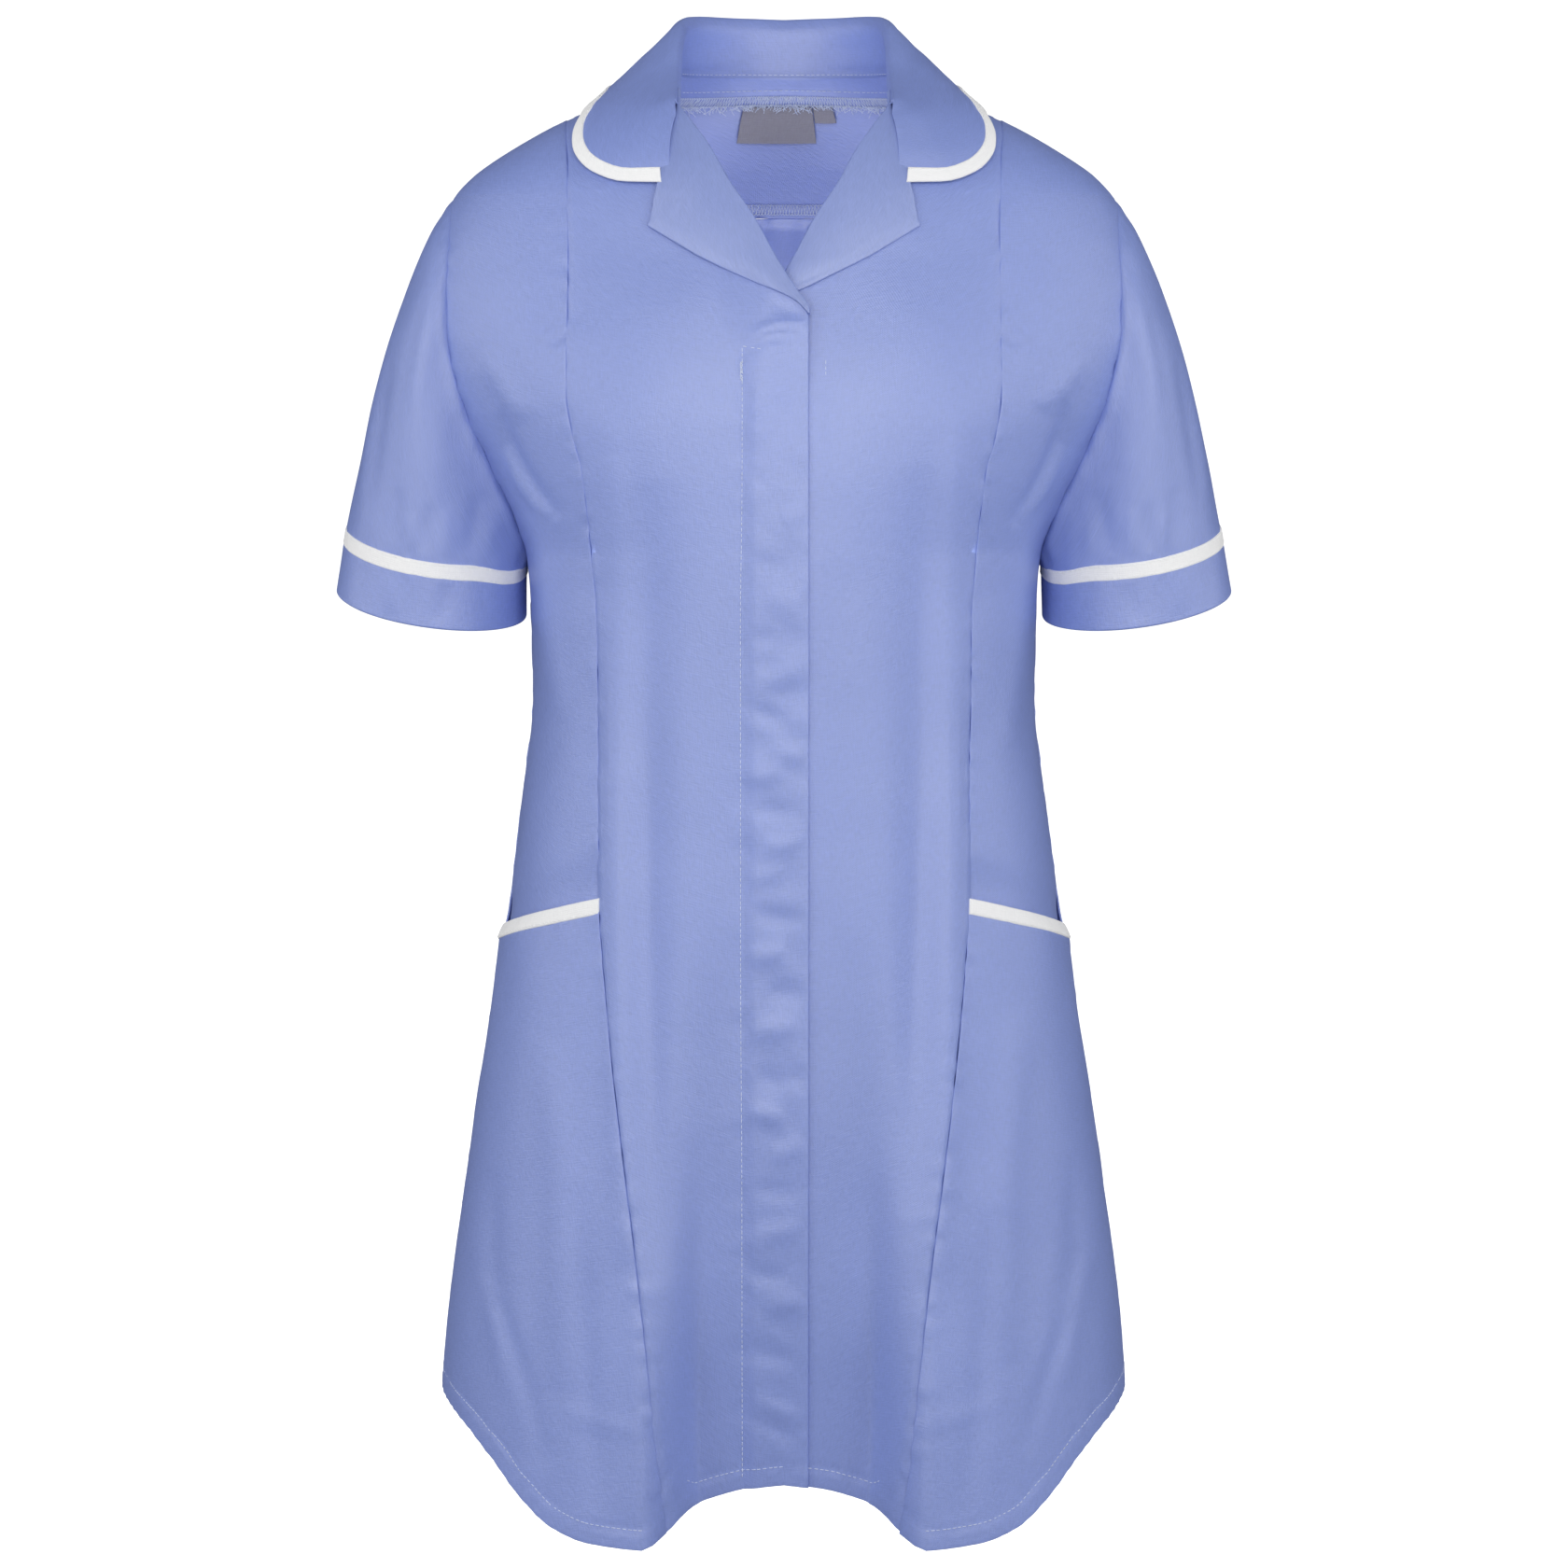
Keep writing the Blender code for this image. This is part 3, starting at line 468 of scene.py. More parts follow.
def fly_lift(side, turn, z):
    """How far the right front, side -1, stands off over the left one where it laps."""
    across = body_point(turn, z)[..., 0]
    near_break = ease(z, BREAK_Z - BREAK_REACH, BREAK_Z)
    full = FLY_LIFT + (BREAK_LIFT - FLY_LIFT) * near_break
    line = FLY_WIDTH - LAP
    slope = ease(across, line - FLY_SLOPE - 10 * near_break, line + 16 * near_break)
    return (side < 0) * full * (1 - slope)


def pocket_mouth(turn):
    """The height of the pocket mouth's edge at a turn."""
    return smooth(np.degrees(turn), POCKET_MOUTH["turn"], POCKET_MOUTH["height"])


def pleat_lift(turn, z):
    """The box pleat stands off flat under the yoke and opens out softly towards the hem."""
    across = body_point(turn, z)[..., 0]
    spread = 1 - ease(z, LOWEST_Z, YOKE_SEAM_Z)
    half_width = PLEAT_HALF_WIDTH + PLEAT_SPREAD * spread
    leave_seam = ease(z, YOKE_SEAM_Z - 1, YOKE_SEAM_Z - 7)
    return PLEAT_LIFT * leave_seam * (1 - ease(across, half_width, half_width + 3 + 22 * spread))


def neck_seam_height(turn):
    """The height of the neck seam, lowest at the shoulders and level at the back."""
    return NECK_SIDE_Z * np.sin(turn) ** 2 - 0.2


def collar_value(name, way):
    return smooth(way, COLLAR["way"], COLLAR[name])


def collar_parts(way):
    """The neck seam, fold and free edge of the collar at this way round it."""
    neck_turn = np.radians(collar_value("neck_turn", way))
    in_front = smooth(np.degrees(neck_turn), NECKLINE["turn"], NECKLINE["height"])
    neck_z = np.where(neck_turn < QUARTER, in_front, neck_seam_height(neck_turn))
    edge_turn = np.radians(collar_value("edge_turn", way))
    edge_z = collar_value("edge_height", way)
    fold = np.stack([collar_value("fold_" + axis, way) for axis in "xyz"], axis=-1)
    return neck_turn, neck_z, fold, edge_turn, edge_z, collar_value("edge_lift", way)


def collar_fall(way, share):
    """The fall: share 0 at the fold, share 1 at the free edge."""
    neck_turn, neck_z, fold, edge_turn, edge_z, edge_lift = collar_parts(way)
    turn = neck_turn + (edge_turn - neck_turn) * share
    z = neck_z + (edge_z - neck_z) * share
    over = (fold - body_point(neck_turn, neck_z)) * (1 - share)[..., None]
    return on_body(turn, z, edge_lift * share + FALL_BULGE * np.sin(np.pi * share)) + over


def value_noise(u, v, seed):
    """Smooth noise from -1 to 1: random values where both numbers are whole, eased between them."""
    lattice = np.random.default_rng(seed).uniform(-1, 1, (128, 128))
    u, v = np.broadcast_arrays(np.asarray(u, float), np.asarray(v, float))
    i, j = np.floor(u).astype(int), np.floor(v).astype(int)
    s, t = u - i, v - j
    s, t = s * s * (3 - 2 * s), t * t * (3 - 2 * t)
    i, j, k, m = i % 128, j % 128, (i + 1) % 128, (j + 1) % 128
    low = lattice[i, j] * (1 - s) + lattice[k, j] * s
    high = lattice[i, m] * (1 - s) + lattice[k, m] * s
    return low * (1 - t) + high * t


def folds(rows, across, height):
    """Soft folds, listed one by one. Along its line a fold swells from nothing and dies away again, and across
    it falls off as a bell. Bend bows the line sideways, and a negative rise is a trough."""
    total = np.zeros(np.broadcast(across, height).shape)
    for x0, z0, x1, z1, width, rise, bend in rows:
        run, drop = x1 - x0, z1 - z0
        length = np.hypot(run, drop)
        along = ((across - x0) * run + (height - z0) * drop) / length ** 2
        bow = 4 * bend * along * (1 - along)
        off = ((across - x0) * drop - (height - z0) * run) / length - bow
        swell = np.clip(1 - (2 * along - 1) ** 2, 0, None) ** 0.8
        total = total + rise * swell * np.exp(-(off / width) ** 2)
    return total


def pucker(distance, along, pitch, rise, seed, reach=6.0):
    """Short uneven ripples that a seam draws into the cloth beside it, dying away from the seam."""
    ripple = value_noise(along / pitch, distance / (3 * reach), seed)
    return rise * ripple * np.exp(-np.abs(distance) / reach)


def seam_dip(distance, depth=0.75, reach=1.1):
    """The cloth turns in at a seam: deepest on the seam, gone a few reaches away."""
    return -depth * np.exp(-(distance / reach) ** 2)


def unit(vectors):
    """The same directions with length 1."""
    return vectors / np.maximum(np.linalg.norm(vectors, axis=-1, keepdims=True), 1e-9)


def lifted(grid, normals, lift):
    """Points moved along their normals."""
    return grid + normals * lift[..., None]


def mirror(side):
    """What points of the wearer's left are multiplied by, to lie on the given side: -1 is the right."""
    side = np.asarray(side, float)
    return np.stack([side, np.ones_like(side), np.ones_like(side)], axis=-1)


def laid(side, turn, z, lift):
    """Points laid on one side of the body form, and the directions away from it there."""
    return on_body(turn, z, lift) * mirror(side), body_normal(turn, z) * mirror(side)


def back_turn(share):
    """The turn this share of the way over the back: 0 at the left side, 1 at the centre, 2 at the right."""
    return QUARTER + QUARTER * share


def from_whole(turn):
    """The side, and the turn within it, of a turn that may run on past the centre of the back."""
    return np.where(turn > HALF, -1.0, 1.0), np.minimum(turn, 2 * np.pi - turn)


def hand(side):
    """The wearer's side in words."""
    return "right" if side < 0 else "left"


def named(piece, side, kind="cloth"):
    """The name of a piece on the given side."""
    return piece + "_" + hand(side) + "_" + kind


def grid_normals(grid, ring):
    """Unit normals of a grid of points; the columns of a ring join up."""
    down = np.gradient(grid, axis=0)
    if ring:
        along = np.roll(grid, -1, axis=1) - np.roll(grid, 1, axis=1)
    else:
        along = np.gradient(grid, axis=1)
    return unit(np.cross(along, down))


def steps(grid, axis):
    """Distance along each line of a grid from its start."""
    lengths = np.linalg.norm(np.diff(grid, axis=axis), axis=-1)
    start = np.zeros_like(np.take(lengths, [0], axis=axis))
    return np.concatenate([start, np.cumsum(lengths, axis=axis)], axis=axis)


# how far in from a free edge the extra rows lie, and the share of the full thickness there: a half round
EDGE_STEPS = ((0.0, 0.12), (0.14, 0.62), (0.36, 0.9), (0.62, 1.0))


def round_edge(arrays, half, axis, size):
    """Puts narrow rows along both edges of a grid, and thins its wall there to a half round."""
    first = np.take(arrays[0], [0, 1], axis=axis)
    last = np.take(arrays[0], [-1, -2], axis=axis)
    done = []
    cells = [np.linalg.norm(np.diff(pair, axis=axis), axis=-1, keepdims=True) for pair in (first, last)]
    shares = [[np.clip(step * size / np.maximum(cell, 1e-6), 0, 0.9) for step, _ in EDGE_STEPS]
              for cell in cells]
    for array in arrays + [half[..., None]]:
        a, b = np.take(array, [0], axis=axis), np.take(array, [1], axis=axis)
        y, z = np.take(array, [-1], axis=axis), np.take(array, [-2], axis=axis)
        start = [a + (b - a) * share for share in shares[0]]
        end = [y + (z - y) * share for share in shares[1]][::-1]
        middle = np.delete(array, [0, array.shape[axis] - 1], axis=axis)
        done.append(np.concatenate(start + [middle] + end, axis=axis))
    *arrays, half = done
    half = half[..., 0]
    count = half.shape[axis]
    thin = np.ones(count)
    thin[:len(EDGE_STEPS)] = [share for _, share in EDGE_STEPS]
    thin[-len(EDGE_STEPS):] = [share for _, share in EDGE_STEPS][::-1]
    half = half * (thin[:, None] if axis == 0 else thin[None, :])
    return arrays, half


def add_object(name, data):
    """An object in the scene that shows this data."""
    obj = bpy.data.objects.new(name, data)
    bpy.context.scene.collection.objects.link(obj)
    return obj


def make_mesh(name, points, quads, uv, material):
    """A smooth mesh object from points in millimetres and an array of four-sided faces."""
    mesh = bpy.data.meshes.new(name)
    quads = np.asarray(quads, np.int32)
    mesh.vertices.add(len(points))
    mesh.vertices.foreach_set("co", (np.asarray(points, float) * MM).ravel())
    mesh.loops.add(quads.size)
    mesh.loops.foreach_set("vertex_index", quads.ravel())
    mesh.polygons.add(len(quads))
    mesh.polygons.foreach_set("loop_start", np.arange(len(quads), dtype=np.int32) * 4)
    mesh.update(calc_edges=True)
    mesh.polygons.foreach_set("use_smooth", np.ones(len(quads), bool))
    if uv is not None:
        layer = mesh.uv_layers.new(name=UV)
        layer.data.foreach_set("uv", (np.asarray(uv, float) * MM)[quads.ravel()].ravel())
    if mesh.validate():
        raise RuntimeError(name + " has faces that can't be")
    mesh.materials.append(finish(material))
    obj = add_object(name, mesh)
    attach(obj, "root")
    return obj


def shell_faces(rows, columns, ring):
    """Faces of a closed wall: its outer side, its inner side and the narrow faces round its edges."""
    index = np.arange(rows * columns).reshape(rows, columns)
    if ring:
        index = np.concatenate([index, index[:, :1]], axis=1)
    under = rows * columns
    a, b, c, d = index[:-1, :-1], index[:-1, 1:], index[1:, 1:], index[1:, :-1]
    faces = [np.stack([a, b, c, d], axis=-1).reshape(-1, 4)]
    faces.append(np.stack([d, c, b, a], axis=-1).reshape(-1, 4) + under)
    edges = [index[0], index[-1][::-1]]
    if not ring:
        edges += [index[:, 0][::-1], index[:, -1]]
    for edge in edges:
        faces.append(np.stack([edge[1:], edge[:-1], edge[:-1] + under, edge[1:] + under], axis=-1))
    return np.concatenate(faces)


def shell(name, grid, normals, material="blue_drill", rests_on="yoke_cloth", half=HALF_WALL,
          ring=False, side=1, held="hung", edge=1.0):
    """A thin closed shell of cloth about a grid of points, with rounded edges. It takes its CAD node's place.
    Half is the distance from the middle surface to each outer one."""
    half = np.broadcast_to(np.asarray(half, float), grid.shape[:2])
    across, down = steps(grid, 1), steps(grid, 0)
    area = np.linalg.norm(np.cross(np.diff(grid, axis=1)[:-1], np.diff(grid, axis=0)[:, :-1]), axis=-1).sum()
    width, length = across[:, -1].max(), down[-1].max()
    if ring:
        closing = np.linalg.norm(grid[:, 0] - grid[:, -1], axis=-1)
        area += (closing[:-1] * np.diff(down[:, -1])).sum()
        width += closing.max()
    flip = mirror(np.broadcast_to(side, grid.shape[:2]))
    arrays = [grid * flip, normals * flip, np.stack([across, -down], axis=-1)]
    arrays, half = round_edge(arrays, half, 0, edge)
    if not ring:
        arrays, half = round_edge(arrays, half, 1, edge)
    grid, normals, marks = arrays
    normals = unit(normals)
    rows, columns = grid.shape[:2]
    outside, inside = lifted(grid, normals, half), lifted(grid, normals, -half)
    points = np.concatenate([outside.reshape(-1, 3), inside.reshape(-1, 3)])
    uv = np.concatenate([marks.reshape(-1, 2)] * 2)
    quads = shell_faces(rows, columns, ring)
    outer = quads[:(rows - 1) * (columns - 1)]
    corner = points[outer]
    facing = np.cross(corner[:, 1] - corner[:, 0], corner[:, 3] - corner[:, 0])
    if (facing * normals.reshape(-1, 3)[outer[:, 0]]).sum() < 0:
        quads = quads[:, ::-1]
    obj = make_mesh(name, points, quads, uv, material)
    piece = name.rpartition("_")[0]
    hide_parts(NODES.get(piece, piece))
    width, length = max(width, NARROWEST_SHEET), max(length, NARROWEST_SHEET)


def tubes(centres, up, radius, flat=1.0):
    """Thin closed tubes with four sides. Centres holds a line of points for each tube, up the direction
    away from the cloth, and radius a size for each point. The ends are closed by faces across them."""
    sides = 4
    tangent = unit(np.gradient(centres, axis=1))
    across = unit(np.cross(tangent, up))
    rise = np.cross(across, tangent)
    angle = (np.arange(sides) + 0.5) / sides * 2 * np.pi
    ring = (np.cos(angle)[:, None] * across[:, :, None, :]
            + flat * np.sin(angle)[:, None] * rise[:, :, None, :])
    points = centres[:, :, None, :] + ring * radius[..., None, None]
    count, length = centres.shape[:2]
    index = np.arange(count * length * sides).reshape(count, length, sides)
    nxt = np.roll(index, -1, axis=2)
    walls = np.stack([index[:, :-1], index[:, 1:], nxt[:, 1:], nxt[:, :-1]], axis=-1).reshape(-1, 4)
    caps = np.concatenate([index[:, 0], index[:, -1][:, ::-1]])
    return points.reshape(-1, 3), np.concatenate([walls, caps])


def thread_piece(name, parts, material):
    """One mesh from several lots of tubes."""
    points = np.concatenate([p for p, _ in parts])
    starts = np.cumsum([0] + [len(p) for p, _ in parts[:-1]])
    quads = np.concatenate([q + start for (_, q), start in zip(parts, starts)])
    make_mesh(name, points, quads, None, material)


def stitch_line(points, up, sizes, seed):
    """A row of stitches along a line on the cloth: each one a spindle, sunk a little at both ends."""
    distance = steps(points, 0)
    pitch = sizes.stitch_length + sizes.stitch_gap
    count = max(int(distance[-1] / pitch), 1)
    jitter = np.random.default_rng(seed).uniform(-0.12, 0.12, (count, 2))
    start = (np.arange(count) + 0.5 + jitter[:, 0]) * distance[-1] / count
    long = sizes.stitch_length * (1 + jitter[:, 1])
    share = np.array([-0.5, -0.36, 0.0, 0.36, 0.5])
    place = start[:, None] + long[:, None] * share
    centres = np.stack([np.interp(place, distance, points[:, i]) for i in range(3)], axis=-1)
    away = unit(np.stack([np.interp(place, distance, up[:, i]) for i in range(3)], axis=-1))
    thick = sizes.thread_width / 2
    centres = centres + away * (thick * np.array([-0.9, 0.35, 0.8, 0.35, -0.9]))[:, None]
    radius = np.broadcast_to(thick * np.array([0.45, 0.9, 1.0, 0.9, 0.45]), place.shape)
    return tubes(centres, away, radius, 0.85)


class Value:
    """A shader socket that adds Math nodes when it is used in a sum or product."""

    def __init__(self, shader, socket):
        self.shader = shader
        self.socket = socket

    def math(self, operation, *others):
        return self.shader.node("ShaderNodeMath", {"operation": operation}, dict(enumerate([self, *others])))

    def __add__(self, other):
        return self.math("ADD", other)

    def __sub__(self, other):
        return self.math("SUBTRACT", other)

    def __mul__(self, other):
        return self.math("MULTIPLY", other)

    def sine(self):
        return self.math("SINE")


class Shader:
    """Adds nodes to one material."""

    def __init__(self, name):
        self.material = bpy.data.materials.new(name)
        self.material.use_nodes = True
        self.tree = self.material.node_tree
        self.surface = self.tree.nodes["Principled BSDF"]

    def node(self, kind, settings=None, inputs=None, output=0):
        node = self.tree.nodes.new(kind)
        for key, value in (settings or {}).items():
            setattr(node, key, value)
        self.set(node, inputs or {})
        return Value(self, node.outputs[output])

    def set(self, node, inputs):
        for key, value in inputs.items():
            if isinstance(value, Value):
                self.tree.links.new(value.socket, node.inputs[key])
            else:
                node.inputs[key].default_value = value

    def noise(self, place, scale, detail=2.0):
        """Noise from 0 to 1, stretched by its own scale along each axis."""
        stretched = self.node("ShaderNodeVectorMath", {"operation": "MULTIPLY"}, {0: place, 1: scale})
        return self.node("ShaderNodeTexNoise", None, {"Vector": stretched, "Scale": 1.0, "Detail": detail})

    def mix(self, factor, first, second):
        return self.node("ShaderNodeMix", {"data_type": "RGBA"}, {0: factor, 6: first, 7: second}, 2)


def tone(colour, share):
    return (*[min(c * share, 1.0) for c in colour[:3]], 1.0)


def woven(name, colour, roughness, contrast, diagonal=True, gloss=0.85):
    """Woven cloth on the piece's own UV map: the twill line or plain rib, slubs along and across the
    grain, and slow changes of tone over a hand's width."""
    shader = Shader(name)
    place = shader.node("ShaderNodeUVMap", {"uv_map": UV})
    parts = shader.tree.nodes.new("ShaderNodeSeparateXYZ")
    shader.tree.links.new(place.socket, parts.inputs[0])
    across, along = Value(shader, parts.outputs[0]), Value(shader, parts.outputs[1])
    line = (across + along if diagonal else along) * (2 * np.pi / TWILL_PITCH)
    twill = line.sine()
    warp = shader.noise(place, (1500.0, 170.0, 1.0))
    weft = shader.noise(place, (150.0, 1300.0, 1.0))
    slow = shader.noise(place, (13.0, 8.0, 1.0), 3.0)
    mottle = shader.noise(place, (430.0, 260.0, 1.0), 3.0)
    grain = warp + weft - 1.0
    shade = (grain * contrast + (slow - 0.5) * (contrast * 0.55) + (mottle - 0.5) * (contrast * 0.7)
             + twill * (contrast * 0.05) + 0.5)
    shader.set(shader.surface, {
        "Base Color": shader.mix(shade, tone(colour, 0.78), tone(colour, 1.22)),
        "Roughness": (slow - 0.5) * 0.12 + grain * 0.05 + roughness,
        "Normal": shader.node("ShaderNodeBump", None, {
            "Strength": 0.5, "Distance": 0.00022, "Height": grain * 1.1 + twill * 0.15 + mottle * 1.6}),
        "IOR": 1.8,
        "Specular IOR Level": gloss,
    })
    return shader.material


def spun(name, colour):
    """Sewing thread: smooth fibres with a slight gloss and an uneven tone."""
    shader = Shader(name)
    place = shader.node("ShaderNodeTexCoord", None, None, 3)
    uneven = shader.noise(place, (900.0, 900.0, 900.0))
    shader.set(shader.surface, {
        "Base Color": shader.mix(uneven, tone(colour, 0.86), tone(colour, 1.1)),
        "Roughness": uneven * 0.2 + 0.4,
        "Specular IOR Level": 0.4,
    })
    return shader.material


def plain(name, colour, roughness, glow):
    """A smooth pale stage surface with a hardly visible change of tone and a glow of its own."""
    shader = Shader(name)
    place = shader.node("ShaderNodeTexCoord", None, None, 3)
    uneven = shader.noise(place, (0.7, 0.7, 0.7))
    shader.set(shader.surface, {
        "Base Color": shader.mix(uneven, tone(colour, 0.99), tone(colour, 1.0)),
        "Roughness": roughness,
        "Emission Color": tone(colour, 1.0),
        "Emission Strength": glow,
    })
    return shader.material


def finish(name):
    """The material of this name, made the first time that it is asked for."""
    made = bpy.data.materials.get(name)
    if made is not None:
        return made
    colours = bpy.context.scene.tunic_colours
    if name == "sewing_thread":
        return spun(name, colours.thread)
    if name == "white_thread":
        return spun(name, colours.binding)
    if name == "binding_tape":
        return woven(name, colours.binding, 0.68, 0.28, False, 0.15)
    if name == "label_ribbon":
        return woven(name, colours.label, 0.6, 0.5, False, 0.1)
    # the lapels' lighter, greyer colour is partly the cloth's other face and partly painted sheen
    if name == "lapel_drill":
        return woven(name, colours.lapel, colours.roughness, colours.contrast)
    return woven(name, colours.cloth, colours.roughness, colours.contrast)


# Soft folds, listed one by one, in millimetres as seen from the front: where each starts and ends, how wide it
# is, how far it stands off the cloth, and how much its line is bowed. The wearer's right is at negative x.
FRONT_FOLDS = (
    # the long folds that fall from the bust beside the princess seams
    (-95, -225, -91, -690, 8, 4.0, 2), (95, -215, 90, -700, 8, 4.0, -2),
    (-75, -240, -73, -700, 10, -4.2, 3), (76, -232, 71, -660, 10, -4.2, -3),
    (-99, -200, -101, -300, 10, 1.4, -2), (100, -196, 101, -310, 10, 1.4, 2),
    (-52, -290, -58, -560, 17, 0.9, 0), (52, -300, 60, -600, 17, 0.9, 0),
    (-38, -520, -44, -800, 12, -1.3, 4), (40, -500, 47, -810, 12, -1.3, -4),
    (-62, -560, -72, -805, 10, 1.0, -3), (64, -570, 74, -800, 10, 1.0, 3),
    # the pull below the lapels' break
    (-21, -161, 14, -154, 3.4, 1.1, -3), (-27, -170, 12, -161, 3.0, -0.6, -4),
    (-8, -141, 12, -149, 3.2, -0.5, 1),
    # under the arms, and the dart's end
    (-163, -200, -128, -262, 4.5, -2.6, 5), (163, -196, 129, -268, 4.5, -2.6, -5),
    (-170, -165, -146, -206, 7, 1.9, 3), (170, -168, 145, -200, 7, 1.9, -3),
    (-160, -222, -134, -262, 4, 2.2, 3), (160, -220, 135, -264, 4, 2.2, -3),
    (-143, -250, -128, -380, 8, 1.5, 3), (143, -262, 127, -400, 8, 1.5, -3),
    (-136, -95, -134, -165, 12, -0.7, 0), (137, -92, 134, -172, 12, -0.7, 0),
    # down the side panels and pockets
    (-168, -640, -166, -725, 7, -1.2, 2), (167, -630, 166, -730, 7, -1.2, -2),
    (-166, -712, -138, -806, 6, -1.5, -4), (165, -720, 140, -800, 6, -1.3, 4),
    (-176, -700, -160, -770, 6, 1.0, -3), (177, -690, 162, -765, 6, 1.0, 3),
    (-133, -560, -128, -760, 10, 2.6, -4), (134, -545, 127, -745, 10, 2.6, 4),
    (-118, -640, -104, -830, 8, -2.0, 3), (117, -655, 103, -832, 8, -2.0, -3),
    (-152, -690, -150, -800, 8, 0.9, 0), (151, -680, 149, -795, 8, 0.9, 0),
    (-128, -770, -76, -779, 6, 0.6, 2), (126, -764, 78, -776, 6, 0.5, -2),
)
# the uneven bubbles down the fly, between its stitching and its edge
FLY_FOLDS = (
    (-20, -206, -6, -214, 6, 0.5, 1), (-22, -232, -12, -246, 5, -0.6, -1), (-2, -262, 12, -258, 6, 0.7, 1),
    (-20, -284, 3, -290, 6, -0.6, 1), (-12, -305, 12, -312, 7, 0.7, -2), (-22, -327, -4, -330, 5, -0.7, 1),
    (-18, -352, 10, -349, 6, 0.9, 2), (-22, -371, 4, -377, 5, -0.8, -1), (-8, -392, 13, -396, 6, 0.9, 1),
    (-22, -409, 0, -403, 5, 0.7, 1), (-20, -428, 11, -431, 5, -0.9, -2), (-12, -447, 13, -441, 5, 0.9, 2),
    (-22, -466, 2, -462, 5, 0.8, 0), (-19, -484, 12, -489, 5, -0.9, 1), (-22, -509, 2, -505, 5, 0.9, 2),
    (-10, -530, 13, -534, 6, -0.9, -1), (-21, -552, 9, -548, 6, 1.0, 1), (-17, -577, 13, -580, 6, -0.9, 2),
    (-22, -598, 1, -603, 5, 0.9, -1), (-8, -622, 13, -617, 6, 0.9, 1), (-21, -643, 8, -647, 6, -0.9, -1),
    (-18, -668, 12, -663, 6, 0.9, 2), (-22, -690, 3, -694, 5, -0.8, 1), (-12, -712, 13, -709, 6, 0.8, -1),
    (-21, -737, 7, -741, 6, -0.8, 1), (-19, -764, 12, -777, 4, 1.0, 1), (-22, -775, 10, -789, 4, -1.0, 1),
)
# the hidden back, in the same way, with x as seen from the front
BACK_FOLDS = (
    (-150, -205, -112, -292, 9, -1.4, -5), (150, -210, 110, -300, 9, -1.4, 5),
    (-158, -170, -128, -215, 9, 1.1, -3), (158, -166, 127, -210, 9, 1.1, 3),
    (-100, -330, -96, -640, 14, 1.4, 3), (103, -300, 97, -620, 14, 1.4, -4),
    (-78, -360, -70, -760, 12, -1.5, -3), (80, -380, 72, -740, 12, -1.5, 4),
    (-48, -420, -52, -800, 15, 1.2, 3), (46, -450, 54, -810, 15, 1.2, -3),
    (-130, -520, -142, -790, 12, 1.5, 5), (128, -540, 144, -785, 12, 1.5, -5),
    (-112, -470, -110, -800, 10, -1.4, 3), (113, -490, 112, -790, 10, -1.4, -3),
    (-70, -265, -20, -330, 12, -0.9, 6), (66, -255, 22, -335, 12, -0.9, -6),
    (-24, -400, -22, -810, 9, -0.8, 1), (25, -380, 22, -800, 9, -0.8, -1),
    (-14, -34, -15, -116, 7, -0.9, 1), (12, -36, 13, -116, 7, -0.8, -1), (-50, -26, -36, -84, 9, -1.0, -3),
    (48, -24, 38, -90, 9, -1.0, 3), (-1, -40, 0, -112, 9, 0.7, 0),
)
# sleeves: the same, with the swing round the arm in degrees and the distance above the cuff's edge
SLEEVE_FOLDS = (
    (60, 44, 62, 78, 5, -0.9, 1), (74, 42, 73, 66, 4, 0.8, 0), (84, 43, 87, 72, 4, -0.9, 0),
    (97, 42, 95, 70, 4, 0.8, 0), (108, 43, 111, 82, 5, -1.0, 1), (122, 42, 120, 64, 4, 0.5, 0),
    (38, 52, 30, 150, 9, -1.0, 2), (22, 60, 14, 178, 9, 0.9, -2), (70, 120, 52, 205, 8, 0.8, 3),
    (95, 100, 78, 175, 9, -1.0, -3), (125, 60, 104, 128, 8, 0.5, 3), (143, 40, 122, 92, 7, -0.6, 2),
    (-45, 50, -36, 150, 9, -1.1, -2), (-70, 44, -73, 98, 7, 1.0, 0), (-88, 43, -84, 76, 5, -0.9, 1),
    (-104, 43, -108, 84, 6, 1.0, 1), (-124, 42, -112, 110, 8, -1.1, 2), (-75, 120, -58, 196, 9, 0.9, 3),
    (-22, 70, -16, 180, 10, 0.8, 2), (66, 4, 62, 26, 5, 0.6, 0), (92, 3, 96, 27, 5, -0.6, 1),
    (40, 3, 44, 26, 6, -0.5, 0), (-60, 3, -64, 26, 6, 0.6, 0), (-96, 3, -92, 26, 6, -0.6, 0),
)


def hem_distance(turn, z):
    """How far a point lies above the hem, measured square to the hem's curve."""
    slope = (hem_height(turn + 0.01) - hem_height(turn - 0.01)) / 0.02 / HEM_RADIUS
    return (z - hem_height(turn)) / np.sqrt(1 + slope ** 2)


def hem_relief(turn, z, across):
    """The turned-up hem: a little proud below its stitching, a dent along the stitching, and slanting
    ropes where the curve makes the folded band twist."""
    sizes = bpy.context.scene.tunic_sizes
    away, along = hem_distance(turn, z), turn * HEM_RADIUS
    band = 1 - ease(away, sizes.hem_width - 1.5, sizes.hem_width + 0.5)
    dent = np.exp(-((away - sizes.hem_width) / 1.1) ** 2)
    rope = np.sin(2 * np.pi * ((along + 0.9 * away) / 8.5 + 0.35 * value_noise(along / 21.0, across / 60, 11)))
    curved = 0.35 + 0.65 * ease(np.abs(np.degrees(turn) - 62), 34, 12)
    above = pucker(away - sizes.hem_width, along + across / 4, 7.5, 0.5, 14, 9.0)
    return band * (0.35 + 0.3 * rope * curved) - 0.36 * dent + above * (1 - band)


